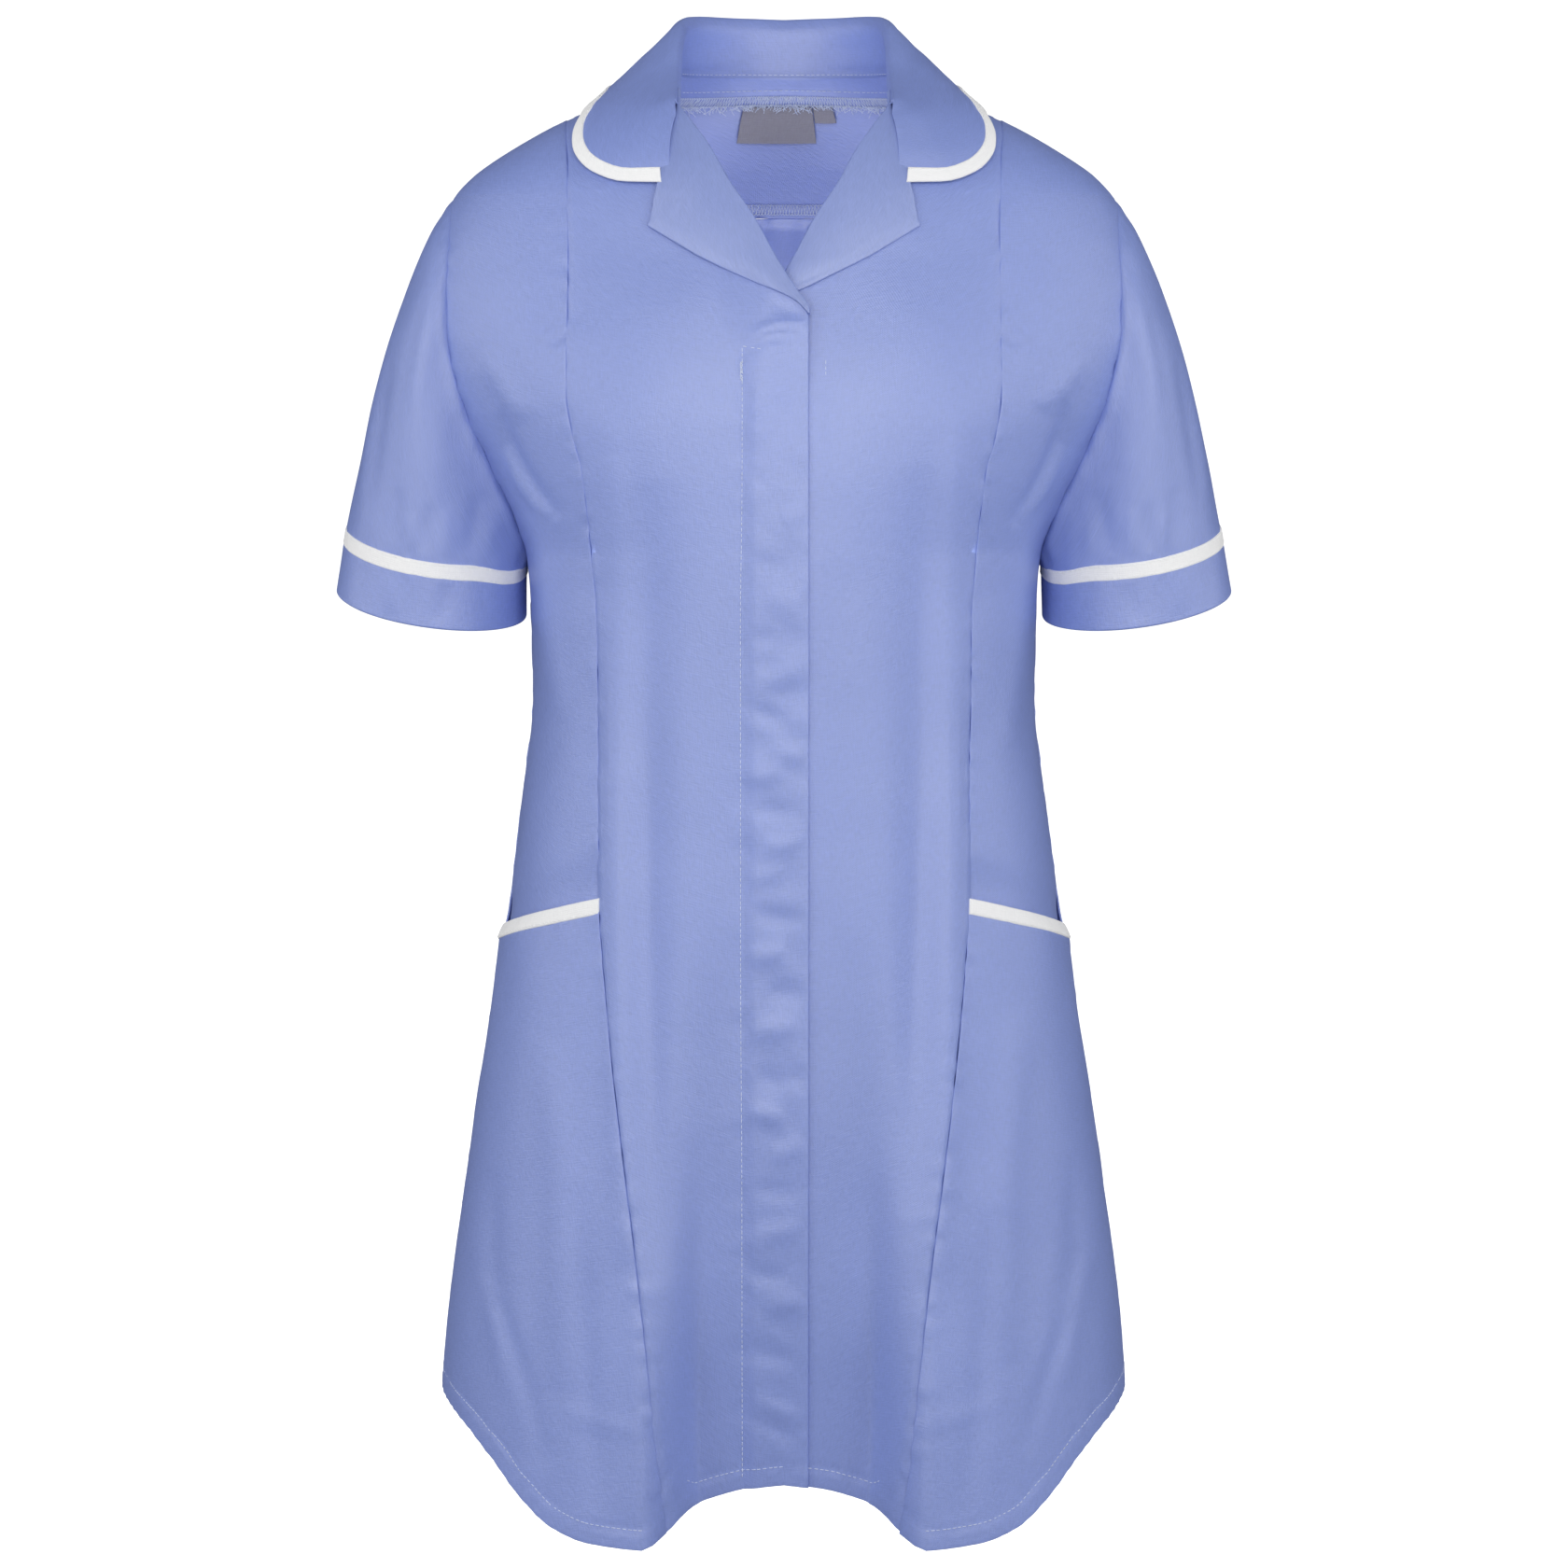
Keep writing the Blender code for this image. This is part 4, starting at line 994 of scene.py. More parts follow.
def body_relief(side, turn, z):
    """Every fold that crosses the panels, for one side of the body."""
    sizes = bpy.context.scene.tunic_sizes
    point = body_point(turn, z)
    across = side * point[..., 0]
    front = ease(point[..., 1], 22, -12)
    lift = front * folds(FRONT_FOLDS, across, z) + (1 - front) * 1.6 * folds(BACK_FOLDS, across, z)
    wander = 0.55 * value_noise(across / 36 + 20, z / 62 + point[..., 1] / 40 + 40, 5)
    wander = wander + 0.16 * value_noise(across / 17, z / 24 + point[..., 1] / 19, 6)
    calm = ease(z, NECK_SIDE_Z, -70)
    hem = hem_relief(turn, z, across) * (z < HEM_CURVE_START_Z)
    return (lift + wander * calm) * sizes.fold_strength + hem


def seam_relief(distance, z, seed, rise=0.34):
    """A plain seam: the cloth turns in on the line and puckers unevenly beside it."""
    sizes = bpy.context.scene.tunic_sizes
    return seam_dip(distance, 0.26, 1.0) + pucker(distance, z, 7.0, (rise + 0.22) * sizes.pucker_strength, seed)


def levels(top, bottom, step):
    """Heights of the rows, closer together round the ends of the armhole."""

    def between(heights):
        return heights[(heights < top - 0.3) & (heights > bottom + 0.3)]

    swing = np.cos(np.linspace(0, np.pi, 61))
    heights = between(np.concatenate([np.arange(bottom, top, step), armhole_height(swing)]))
    heights = between(np.unique(np.round(heights / 0.4) * 0.4)[::-1])
    return np.concatenate([[top], heights, [bottom]])[:, None]


def lay_out(level, shares, inner, outer):
    """Turns and heights of a panel between two seams, with the hem's curve worked into its low rows."""
    share = np.asarray(shares)[None, :]
    z = level + 0 * share
    for _ in range(8):
        turn = inner(z) + (outer(z) - inner(z)) * share
        z = level + (hem_height(turn) - LOWEST_Z) * ease(level, HEM_CURVE_START_Z, LOWEST_Z)
    return turn, z


def body_shell(name, side, turn, z, lift, *more, **options):
    """A shell laid on the body form."""
    shell(name, on_body(turn, z, lift), body_normal(turn, z), *more, side=side, **options)


def edge_distances(turn, z):
    """Distance of each point of a panel from its first and from its last column."""
    along = steps(body_point(turn, z), 1)
    return along, along[:, -1:] - along


def front_lift(side, turn, z):
    """All that lifts a front off the form but the princess seam: the fly, its bubbles and the folds."""
    sizes = bpy.context.scene.tunic_sizes
    across = side * body_point(turn, z)[..., 0]
    lift = fly_lift(side, turn, z) + body_relief(side, turn, z)
    if side < 0:
        fly = ease(across, -28, -20) * ease(z, BREAK_Z, -175)
        bubbles = 1.15 * folds(FLY_FOLDS, across, z) + 0.45 * value_noise((across + 0.5 * z) / 13, z / 15, 33)
        lift = lift + fly * bubbles * sizes.fold_strength
        line = across + FLY_WIDTH - LAP
        lift = lift + (seam_dip(line, 0.3, 1.2) + pucker(line, z, 9.0, 0.35, 31, 8.0)) * ease(z, BREAK_Z, -172)
    return lift


def make_front(side):
    """A front from its open edge to the princess seam, thicker along the fly where cloth is folded back.
    Its last two columns run on under the side front, in a groove that is deeper beside the pocket."""
    columns = np.concatenate([np.linspace(0, 0.3, 34), np.linspace(0.3, 0.991, 41)[1:], [1, 1 + SEAM_TUCK]])
    turn, z = lay_out(levels(FRONT_TOP_Z, LOWEST_Z, 3.1), columns, front_edge_turn, princess_turn)
    from_edge = steps(body_point(turn, z), 1)
    seam = seam_relief(np.abs(from_edge[:, -2:-1] - from_edge), z, 42 + side)
    lift = front_lift(side, turn, z) + seam * ease(z, PRINCESS_TOP_Z, PRINCESS_TOP_Z - 20)
    lift[:, -2:] -= 0.5 + 0.7 * ease(z[:, -2:], -470, -560) + np.array([0, 0.8])
    folded = (1 - ease(from_edge, FLY_WIDTH - 1.5, FLY_WIDTH + 0.5)) * ease(z, -140, -165)
    body_shell(named("front", side), side, turn, z, lift, half=HALF_WALL + FLY_EXTRA * folded)


def make_side_front(side):
    """The side front, drawn in by the bust dart and running on behind the pocket as its bag."""
    level = levels(PRINCESS_TOP_Z, POCKET_BAG_Z, 3.5)
    turn, z = lay_out(level, np.linspace(0, 1, 56), princess_turn, armhole_front)
    mouth = pocket_mouth(turn)
    behind = 1 - ease(z, mouth + 4, mouth + 30)
    from_seam, from_side = edge_distances(turn, z)
    across = body_point(turn, z)[..., 0]
    above = (DART_START[1] - DART_SLOPE * (across - DART_START[0])) - z
    dart = ease(across, *DART_END) * (seam_dip(above, 1.1, 1.5) + pucker(above, across, 8.0, 0.5, 51, 5.0))
    lift = body_relief(side, turn, z) * (1 - behind) - BAG_DEPTH * behind + dart
    lift = lift + seam_relief(from_seam, z, 45 + side) + seam_relief(from_side, z, 48 + side, 0.5)
    body_shell(named("side_front", side), side, turn, z, lift)


def pocket_lift(turn, z):
    """The pocket stands off under its mouth, most of all at the side."""
    start = princess_turn(z)
    below = np.clip(pocket_mouth(turn) - z, 0, None)
    fade = ease(below, -4, BINDING_WIDTH) * np.exp(-below / POCKET_SETTLE)
    return POCKET_STAND * fade * ease(turn, start, start + POCKET_OPENS_OVER)


def mouth_rows(drops, shares):
    """Rows across the pocket, each at one distance under the mouth's edge."""
    share, drop = np.asarray(shares)[None, :], np.asarray(drops)[:, None]
    z = POCKET_MOUTH["height"][0] - drop + 0 * share
    for _ in range(6):
        turn = princess_turn(z) + (armhole_front(z) - princess_turn(z)) * share
        z = pocket_mouth(turn) - drop
    return turn, z


def make_pocket(side):
    """The pocket front, from under its binding down to the hem."""
    shares = np.linspace(0, 1, 66)
    top = mouth_rows([BINDING_WIDTH - 1.6], shares)[1]
    level = top + (LOWEST_Z - top) * np.linspace(0, 1, 128)[:, None]
    turn, z = lay_out(level, shares, princess_turn, armhole_front)
    from_seam, from_side = edge_distances(turn, z)
    lift = pocket_lift(turn, z) + body_relief(side, turn, z) + seam_relief(from_seam, z, 62 + side, 0.45)
    lift = lift + seam_relief(from_side, z, 66 + side, 0.5)
    under = pucker(pocket_mouth(turn) - z - BINDING_WIDTH, np.degrees(turn) * 3, 9.0, 0.4, 69, 7.0)
    body_shell(named("pocket", side), side, turn, z, lift + under, rests_on=named("side_front", side))


def binding_profile(share):
    """Half the thickness of a folded tape across its width: fullest a little in from both edges."""
    return 0.78 + 0.2 * np.sin(np.pi * share) ** 0.5 - 0.12 * np.exp(-((share - 0.86) / 0.05) ** 2)


def make_pocket_binding(side):
    """The tape on a pocket's mouth. It follows the pocket's folds less and less towards its free edge."""
    share = TAPE_ROWS[:, None]
    turn, z = mouth_rows(BINDING_WIDTH * TAPE_ROWS, np.linspace(0, 1, 70))
    along = edge_distances(turn, z)[0]
    folded = body_relief(side, turn, z) * ease(share, 0.2, 1) * BINDING_FOLD_SHARE
    lift = pocket_lift(turn, z) + 0.35 + folded + 0.16 * value_noise(along / 6.0, share * 2, 71)
    name, under = named("pocket_binding", side, "tape"), named("pocket", side)
    body_shell(name, side, turn, z, lift, "binding_tape", under, binding_profile(share), edge=1.3)


def over_back(shares):
    """Shares from the left side to the back's centre, run on to the right side, and the side of each."""
    side = np.repeat([1.0, -1.0], [len(shares), len(shares) - 1])
    return np.concatenate([shares, shares[-2::-1]]), side


def make_yoke():
    """The back yoke, from the neck to the yoke seam, and out to the shoulder seams."""
    half, side = over_back(np.linspace(0, 1, 62))
    fall = np.linspace(0, 1, 36)[:, None]
    turn = QUARTER + QUARTER * half + 0 * fall
    for _ in range(6):
        top = neck_seam_height(turn) - 1.0
        z = top + (YOKE_SEAM_Z - top) * fall
        edge = armhole_back(z)
        turn = edge + (HALF - edge) * half
    across = side * body_point(turn, z)[..., 0]
    lift = 0.5 * value_noise(across / 55 + 9, z / 30, 81) * ease(z, -5, -30)
    lift = lift + seam_relief(z - YOKE_SEAM_Z, across, 83, 0.3)
    lift = lift + seam_dip(np.minimum(*edge_distances(turn, z)))
    body_shell("yoke_cloth", side, turn, z, lift, rests_on=None)


def make_back():
    """The back, from the yoke seam to the hem, with its box pleat at the centre."""
    half, side = over_back(np.concatenate([np.linspace(0, 0.86, 60), np.linspace(0.86, 1, 16)[1:]]))
    turn, z = lay_out(levels(YOKE_SEAM_Z, LOWEST_Z, 4.0), half, armhole_back, lambda z: HALF)
    lift = back_lift(side, turn, z)
    lift = lift + seam_relief(z - YOKE_SEAM_Z, body_point(turn, z)[..., 0] * side, 85, 0.4)
    lift = lift + seam_relief(np.minimum(*edge_distances(turn, z)), z, 87, 0.4)
    body_shell("back_cloth", side, turn, z, lift)


def back_lift(side, turn, z):
    """The back's pleat and folds. Beside the pocket it comes out at the side seam as far as that does."""
    edge = pocket_lift(np.full_like(turn, QUARTER), z) * ease(turn, QUARTER + 0.35, QUARTER)
    return pleat_lift(turn, z) + body_relief(side, turn, z) + edge


def armhole_place(swing):
    """Turn and height on the armhole's edge: swing 0 at the shoulder, a quarter turn at the front, half
    a turn at the underarm."""
    z = armhole_height(np.cos(swing))
    return np.where(np.sin(swing) >= 0, armhole_front(z), armhole_back(z)), z


def sleeve_point(swing, way):
    """The sleeve's middle surface: way 0 at the armhole, way 1 at the cuff's edge."""
    start = on_body(*armhole_place(swing), WALL + 0.3)
    out = np.cos(swing)[..., None]
    front = np.sin(swing)[..., None]
    end = SLEEVE_END + SLEEVE_END_OUT * out + SLEEVE_END_FRONT * front
    top = (1 + out) / 2
    leave = LEAVE_TOP * top ** 1.5 + LEAVE_UNDERARM * (1 - top)
    leave = leave + LEAVE_FRONT * np.maximum(front, 0) + LEAVE_BACK * np.maximum(-front, 0)
    arrive = ARRIVE_TOP * top ** 1.5 + ARRIVE_UNDERARM * (1 - top)
    t = np.asarray(way)[..., None]
    rest = 1 - t
    return (rest ** 3 * start + 3 * rest ** 2 * t * (start + leave) + 3 * rest * t ** 2 * (end + arrive)
            + t ** 3 * end)


def sleeve_lines(targets):
    """Points down the sleeve. Targets turns the lines' lengths into rows of distances from the cuff's edge.
    Returns the points, their normals, swings and distances from the cuff's edge and from the armhole."""
    swing = np.linspace(0, 2 * np.pi, SLEEVE_COLUMNS, endpoint=False)
    ways = np.linspace(0, 1, 161)
    lines = sleeve_point(swing[None, :], ways[:, None] + 0 * swing[None, :])
    left = steps(lines[::-1], 0)[::-1]
    target = targets(left[0])
    way = np.stack([np.interp(-wanted, -there, ways) for wanted, there in zip(target.T, left.T)], axis=1)
    swing = swing[None, :] + 0 * way
    grid = sleeve_point(swing, way)
    normals = grid_normals(grid, True)
    centre = grid.mean(axis=1, keepdims=True)
    if (normals * (grid - centre)).sum() < 0:
        normals = -normals
    return grid, normals, swing, target, left[0] - target


def short_share(length):
    """The share by which the cuff's rows draw in where the underarm seam is short."""
    return SHORT_SEAM_SHARE + (1 - SHORT_SEAM_SHARE) * ease(length, SHORT_SEAM * 0.8, SHORT_SEAM * 1.6)


def cuff_rows(distances):
    """Rows at these distances above the cuff's edge, drawn in where the underarm seam is short."""
    return lambda length: np.asarray(distances)[:, None] * short_share(length)


def sleeve_relief(swing, distance, side):
    """The sleeve's folds, a little differently placed on the two sides."""
    degrees = np.degrees(np.where(swing > np.pi, swing - 2 * np.pi, swing))
    lift = folds(SLEEVE_FOLDS, degrees * 0.95 if side < 0 else degrees, distance)
    along = distance / 34 + np.cos(swing) * 1.7
    lift = lift + 0.5 * value_noise(np.sin(swing) * 2.2 + 7, along, 92 + side)
    return lift * bpy.context.scene.tunic_sizes.fold_strength


def make_sleeve(side):
    """The sleeve, from under the body's armhole edge to under its binding, with small gathers above the
    tape. Its first two rows are laid under the body's edge."""
    low = CUFF_WIDTH + BINDING_WIDTH - 1.2

    def rows(length):
        last = low * short_share(length)
        return length + (last - length) * np.linspace(0, 1, 74)[:, None]

    grid, normals, swing, distance, from_seam = sleeve_lines(rows)
    lift = sleeve_relief(swing, distance, side) * ease(from_seam, 0, 9)
    lift = lift + pucker(from_seam, swing * 75, 6.5, 0.7, 95, 7.0) * ease(from_seam, 0, 1.5)
    lift = lift + 0.7 * np.exp(-((from_seam - 5) / 4) ** 2) * ease(from_seam, 0, 3)
    gathers = pucker(distance - low, swing * 55, 6.5, 0.75, 97, 9.0)
    seam = np.degrees(np.abs(swing - np.pi))
    grid = lifted(grid, normals, lift + gathers + seam_dip(seam, 0.5, 1.4))
    away = body_normal(*armhole_place(swing[0]))
    grid = grid - away * (1.65 * ease(from_seam, 22, 0))[..., None]
    inward = grid[0] - grid[1]
    inward = unit(inward - away * (inward * away).sum(axis=-1, keepdims=True))
    under = np.stack([grid[0] + inward * 2.8 - away * 1.35, grid[0] + inward * 1.3 - away * 1.15])
    grid, normals = np.concatenate([under, grid]), np.concatenate([np.stack([away, away]), normals])
    shell(named("sleeve", side), grid, normals, rests_on=named("side_front", side), ring=True, side=side,
          edge=0.6)


def make_sleeve_binding(side):
    """The tape between sleeve and cuff."""
    heights = np.linspace(CUFF_WIDTH + BINDING_WIDTH, CUFF_WIDTH, 13)
    grid, normals, swing, distance, _ = sleeve_lines(cuff_rows(heights))
    lift = sleeve_relief(swing, distance, side) * SLEEVE_TAPE_FOLD_SHARE
    lift = lift + 0.35 + 0.14 * value_noise(swing * 9, distance / 5, 99)
    half = binding_profile(np.linspace(1, 0, 13))[:, None]
    shell(named("sleeve_binding", side, "tape"), lifted(grid, normals, lift), normals, "binding_tape",
          named("sleeve", side), half, ring=True, side=side, edge=1.3)


def make_cuff(side):
    """The cuff: cloth folded up double, so its lower edge is a full round."""
    heights = np.linspace(CUFF_WIDTH + 1.2, 0.0, 22)
    grid, normals, swing, distance, _ = sleeve_lines(cuff_rows(heights))
    lift = sleeve_relief(swing, distance, side)
    lift = lift + pucker(distance - CUFF_WIDTH, swing * 55, 8.0, 0.3, 101, 8.0)
    shell(named("cuff", side), lifted(grid, normals, lift), normals, rests_on=named("sleeve", side), half=0.95,
          ring=True, side=side, edge=1.5)


def lapel_place(side, down, out):
    """Turn, height and lift of a lapel: down 0 at the gorge, out 0 on the roll line and 1 at its free edge.
    Out below 0 carries on round the fold, in a half circle, to the edge of the front."""
    top = ROLL_LINE["height"][0]
    end = BREAK_Z + 2 if side < 0 else LEFT_LAPEL_END_Z
    roll_height = top + (end - top) * down
    roll_x = column(ROLL_LINE, "across", roll_height)
    edge_x = np.interp(down, LAPEL_EDGE["way"], LAPEL_EDGE["across"])
    edge_z = np.interp(down, LAPEL_EDGE["way"], LAPEL_EDGE["height"])
    gorge = 1 - ease(down, 0.12, 0.34)
    edge_x = edge_x + 3.0 * gorge
    edge_z = edge_z + 60.0 * np.clip(-down, 0, None)
    flat = np.clip(out, 0, None)
    angle = np.clip(-out, 0, 1) * np.pi
    across = roll_x + (edge_x - roll_x) * flat - 1.05 * np.sin(angle)
    z = roll_height + (edge_z - roll_height) * flat - GORGE_GAP * (1 - down) * 0.3
    turn = turn_at(across, z)
    bulge = LAPEL_BULGE * np.sin(np.pi * flat) * np.sin(np.pi * down)
    over_collar = GORGE_LIFT * (1 - ease(down, 0, 0.4)) * flat + 0.6 * gorge * ease(flat, 0.7, 1)
    over_collar = over_collar - 1.6 * ease(down, 0.0, -0.04)
    lift = LAPEL_LIFT * (1 + np.cos(angle)) / 2 + fly_lift(side, turn, z) + bulge + over_collar
    return turn, z, lift


def make_lapel(side):
    """The turned-back facing, rolled over the front's edge, with its free edge turned in and pressed."""
    down = np.concatenate([np.linspace(-0.1, 0, 6)[:-1], np.linspace(0, 1, 74)])[:, None]
    out = np.concatenate([np.linspace(-1, 0, 9)[:-1], np.linspace(0, 1, 46)])[None, :]
    turn, z, lift = lapel_place(side, down, out)
    point = body_point(turn, z)
    edge = steps(point, 1)
    from_edge = edge[:, -1:] - edge
    lift = lift + 0.4 * value_noise(point[..., 0] / 19 + 3, z / 23, 112 + side) * ease(out, 0, 0.25)
    lift = lift - 0.2 * np.exp(-((from_edge - 3.5) / 2.0) ** 2) - 0.45 * np.exp(-(from_edge / 1.6) ** 2)
    lift = lift + pucker(from_edge - 4, z, 9.0, 0.28, 115, 5.0)
    # its material's lighter, greyer colour is partly painted sheen
    body_shell(named("lapel", side), side, turn, z, lift, "lapel_drill", named("front", side), 0.62,
               held="folded", edge=1.2)


def through(rows, places, samples):
    """A smooth sheet through rows of points: cubic pieces whose slopes are those of the neighbouring rows."""
    rows, places = np.asarray(rows, float), np.asarray(places, float)
    slope = np.gradient(rows, places, axis=0)
    i = np.clip(np.searchsorted(places, samples) - 1, 0, len(places) - 2)
    step = (places[i + 1] - places[i])[:, None, None]
    t = (samples - places[i])[:, None, None] / step
    return hermite(t, step, rows[i], rows[i + 1], slope[i], slope[i + 1])


def fall_length(way):
    """How long the collar's fall is, from the fold to the free edge."""
    edge = collar_fall(way, np.ones_like(way))
    return np.linalg.norm(edge - collar_fall(way, np.zeros_like(way)), axis=-1)


def collar_grid():
    """The collar's middle surface: up from the neck seam as a stand, over the fold and down as the fall.
    Returns it with each row's distance from the neck seam, and the distances of the rows it runs through."""
    signed = np.linspace(-1, 1, COLLAR_COLUMNS)
    way = np.abs(signed)
    neck_turn, neck_z, fold = collar_parts(way)[:3]
    neck = on_body(neck_turn, neck_z, 1.4)
    inward = unit(fold * np.array([1.0, 1.0, 0.0]))
    end = ease(way, 0.8, 1.0)[:, None]
    roll = COLLAR_ROLL * (1 - end) + COLLAR_END_ROLL * end
    stand_top = fold - inward * roll * 1.6 - np.array([0, 0, 1.0]) * roll
    crown = fold - inward * roll * 0.8 + np.array([0, 0, 0.15]) * roll
    rows = [neck, neck + (stand_top - neck) * 0.5, stand_top, crown]
    last = 1 - (BINDING_WIDTH - 1.2) / fall_length(way)
    shares = np.array([0.0, 0.12, 0.3, 0.5, 0.7, 0.86, 1.0])
    rows += [collar_fall(way, last * share) for share in shares]
    rows = np.array(rows)
    places = np.concatenate([[0], np.cumsum(np.linalg.norm(np.diff(rows, axis=0), axis=-1).mean(axis=1))])
    samples = np.linspace(0, places[-1], 74)
    grid = through(rows, places, samples)
    tuck = (ease(way, 0.95, 1.0) * ease(samples, places[4] - 3, places[4] + 12)[:, None])[..., None]
    grid = grid + tuck * np.array([-5.5, 1.5, 0.0])
    return grid * mirror(np.where(signed < 0, -1, 1)), samples, places


def collar_tape(columns, shares):
    """Rows of points on the collar's fall, at these shares across the tape on its free edge."""
    signed = np.linspace(-1, 1, columns)
    way = np.abs(signed)
    width = BINDING_WIDTH / fall_length(way)
    rows = np.stack([collar_fall(way, 1 - width * (1 - share)) for share in shares])
    return rows * mirror(np.where(signed < 0, -1, 1))


def outward(grid):
    """Unit normals that point away from the neck on the fall, and so in towards it on the stand."""
    normals = grid_normals(grid, False)
    return normals * np.sign((normals[-1] * (unit(grid[-1]) + np.array([0, 0, 1.0]))).sum())


def make_collar():
    """The collar, with a groove along its stitching at the foot of the stand."""
    grid, samples, places = collar_grid()
    normals = outward(grid)
    along = steps(grid, 1)
    sizes = bpy.context.scene.tunic_sizes
    height = samples[:, None] + 0 * along
    on_fall = ease(height, places[4], places[4] + 8)
    lift = on_fall * 0.35 * value_noise(along / 24, height / 15, 121) * sizes.fold_strength
    from_tape = places[-1] - height
    lift = lift + pucker(from_tape, along, 7.0, 0.3, 123, 5.0)
    lift = lift - 0.3 * np.exp(-((height - 3.6) / 1.2) ** 2) * (1 - on_fall)
    shell("collar_cloth", lifted(grid, normals, lift), normals, half=0.65, held="folded")


def make_collar_binding():
    """The tape on the collar's free edge."""
    grid = collar_tape(190, TAPE_ROWS)
    normals = outward(grid)
    lift = 0.3 + 0.13 * value_noise(steps(grid, 1) / 5.5, TAPE_ROWS[:, None] * 2, 125)
    shell("collar_binding_tape", lifted(grid, normals, lift), normals, "binding_tape", "collar_cloth",
          binding_profile(TAPE_ROWS)[:, None], held="folded", edge=1.3)


def inside_patch(name, turns, tops, drop, material, thickness, lift):
    """A strip inside the yoke, from its top heights down by the given drop."""
    side, turn = from_whole(turns[None, :] + 0 * PATCH_ROWS)
    z = tops - drop * PATCH_ROWS
    depth = -(WALL + thickness) / 2 - INSIDE_GAP + lift
    body_shell(name, side, turn, z, depth, material, half=thickness / 2, edge=0.8)


def strip_foot(turn):
    """The height of the cut edge of the seam allowance inside the back neck."""
    return neck_seam_height(turn) - NECK_STRIP_DROP - NECK_STRIP_WIDTH


def make_neck_strip():
    """The seam allowance inside the back neck, a little wavy where the overlocking has drawn it in."""
    turns = back_turn(np.linspace(0.02, 1.98, 110))
    tops = neck_seam_height(turns) + 1.6
    drop = NECK_STRIP_DROP + NECK_STRIP_WIDTH + 0.1
    drawn_in = -0.25 * np.abs(value_noise((turns - HALF) * 68 / 7.0, 0.5, 131)) * PATCH_ROWS
    wave = drawn_in + 1.6 * ease(PATCH_ROWS * drop, 6.5, 0.2)
    inside_patch("neck_strip_cloth", turns, tops, drop, "blue_drill", 1.0, wave)


def back_turn_at(across, z):
    """The turn behind the body at which it lies this far from the centre plane."""
    return HALF - np.arctan2(across, column(BODY, "back", np.asarray(z, float)))


def label_top():
    """The height of the label's top, just under the seam allowance."""
    across = np.linspace(-LABEL_SIZE[0], LABEL_SIZE[0], 9)
    return strip_foot(back_turn_at(across, -NECK_STRIP_WIDTH)).min() + 1.2


def make_label(name, middle, size):
    """A bare woven ribbon, folded at its sides, hanging from the seam allowance and bellied a little."""
    across = np.linspace(middle - size[0] / 2, middle + size[0] / 2, 40)
    share = np.linspace(-1, 1, 40)
    belly = -0.7 * PATCH_ROWS * (1 - share ** 2) - 0.5 * PATCH_ROWS
    inside_patch(name, back_turn_at(across, -NECK_STRIP_WIDTH), label_top(), size[1], "label_ribbon",
                 LABEL_WALL * 0.7, belly - 0.5)


def on_front(side, across, z, above):
    """Points above a front's outside, this far from the centre plane, with the directions away from it."""
    turn = turn_at(across, z)
    return laid(side, turn, z, front_lift(side, turn, z) + above)


def fly_stitches(sizes):
    """The row of stitches beside the fly, turned in at its top, with a worn tack just below the turn."""
    line = FLY_WIDTH - LAP
    heights = np.linspace(-165.4, -813, 900)
    drift = 1.0 * ease(heights, -230, -330) - 0.6 * ease(heights, -520, -640)
    down = on_front(-1, line - 0.4 + drift, heights, 0.86)
    across = np.linspace(line, 12.0, 40)
    over = on_front(-1, across, -165.2 - 0.2 * (line - across), 0.86)
    parts = [stitch_line(*down, sizes, 201), stitch_line(*over, sizes, 202)]
    z = np.linspace(-173.5, -185.0, 90)
    for width, seed in ((0.75, 203), (0.5, 205), (0.95, 206)):
        x = line + width * np.sin(z * 3.1 + seed)
        parts.append(stitch_line(*on_front(-1, x, z, 1.0 + 0.1 * np.cos(z * 3)), sizes, seed))
    parts.append(stitch_line(*on_front(1, 23.6, np.linspace(-172.0, -182.0, 30), 0.66), sizes, 204))
    return parts


def front_hem_lift(side, turn, z):
    """A front's lift at the hem, a little more over the fly, where the cloth is thicker."""
    across = body_point(turn, z)[..., 0]
    return front_lift(side, turn, z) + 0.25 * (1 - ease(np.abs(across), 23, 25))


def pocket_hem_lift(side, turn, z):
    """A pocket's lift away from its seams."""
    return pocket_lift(turn, z) + body_relief(side, turn, z)


def hem_stitches(sizes):
    """The row of stitches that holds the turned-up hem, all the way round, panel by panel. Each panel
    gives the turns where its row starts and ends and what lifts its cloth."""
    parts = []
    for side in SIDES:
        turn = np.linspace(0.0, HALF, 2400)
        z = hem_height(turn) + sizes.hem_width
        for _ in range(4):
            z = z + (sizes.hem_width - hem_distance(turn, z))
        seam = princess_turn(z)
        for low, high, lift_of in ((front_edge_turn(z) + 0.006, seam - 0.035, front_hem_lift),
                                   (seam + 0.03, QUARTER - 0.004, pocket_hem_lift),
                                   (QUARTER + 0.006, HALF - 0.004, back_lift)):
            inside = (turn > low) & (turn < high) & (z < hem_height(turn) + 2.2 * sizes.hem_width)
            run = np.flatnonzero(inside)
            run = max(np.split(run, np.flatnonzero(np.diff(run) > 1) + 1), key=len)
            t, h = turn[run], z[run]
            parts.append(stitch_line(*laid(side, t, h, lift_of(side, t, h) + 0.78), sizes, 211 + side))
    return parts


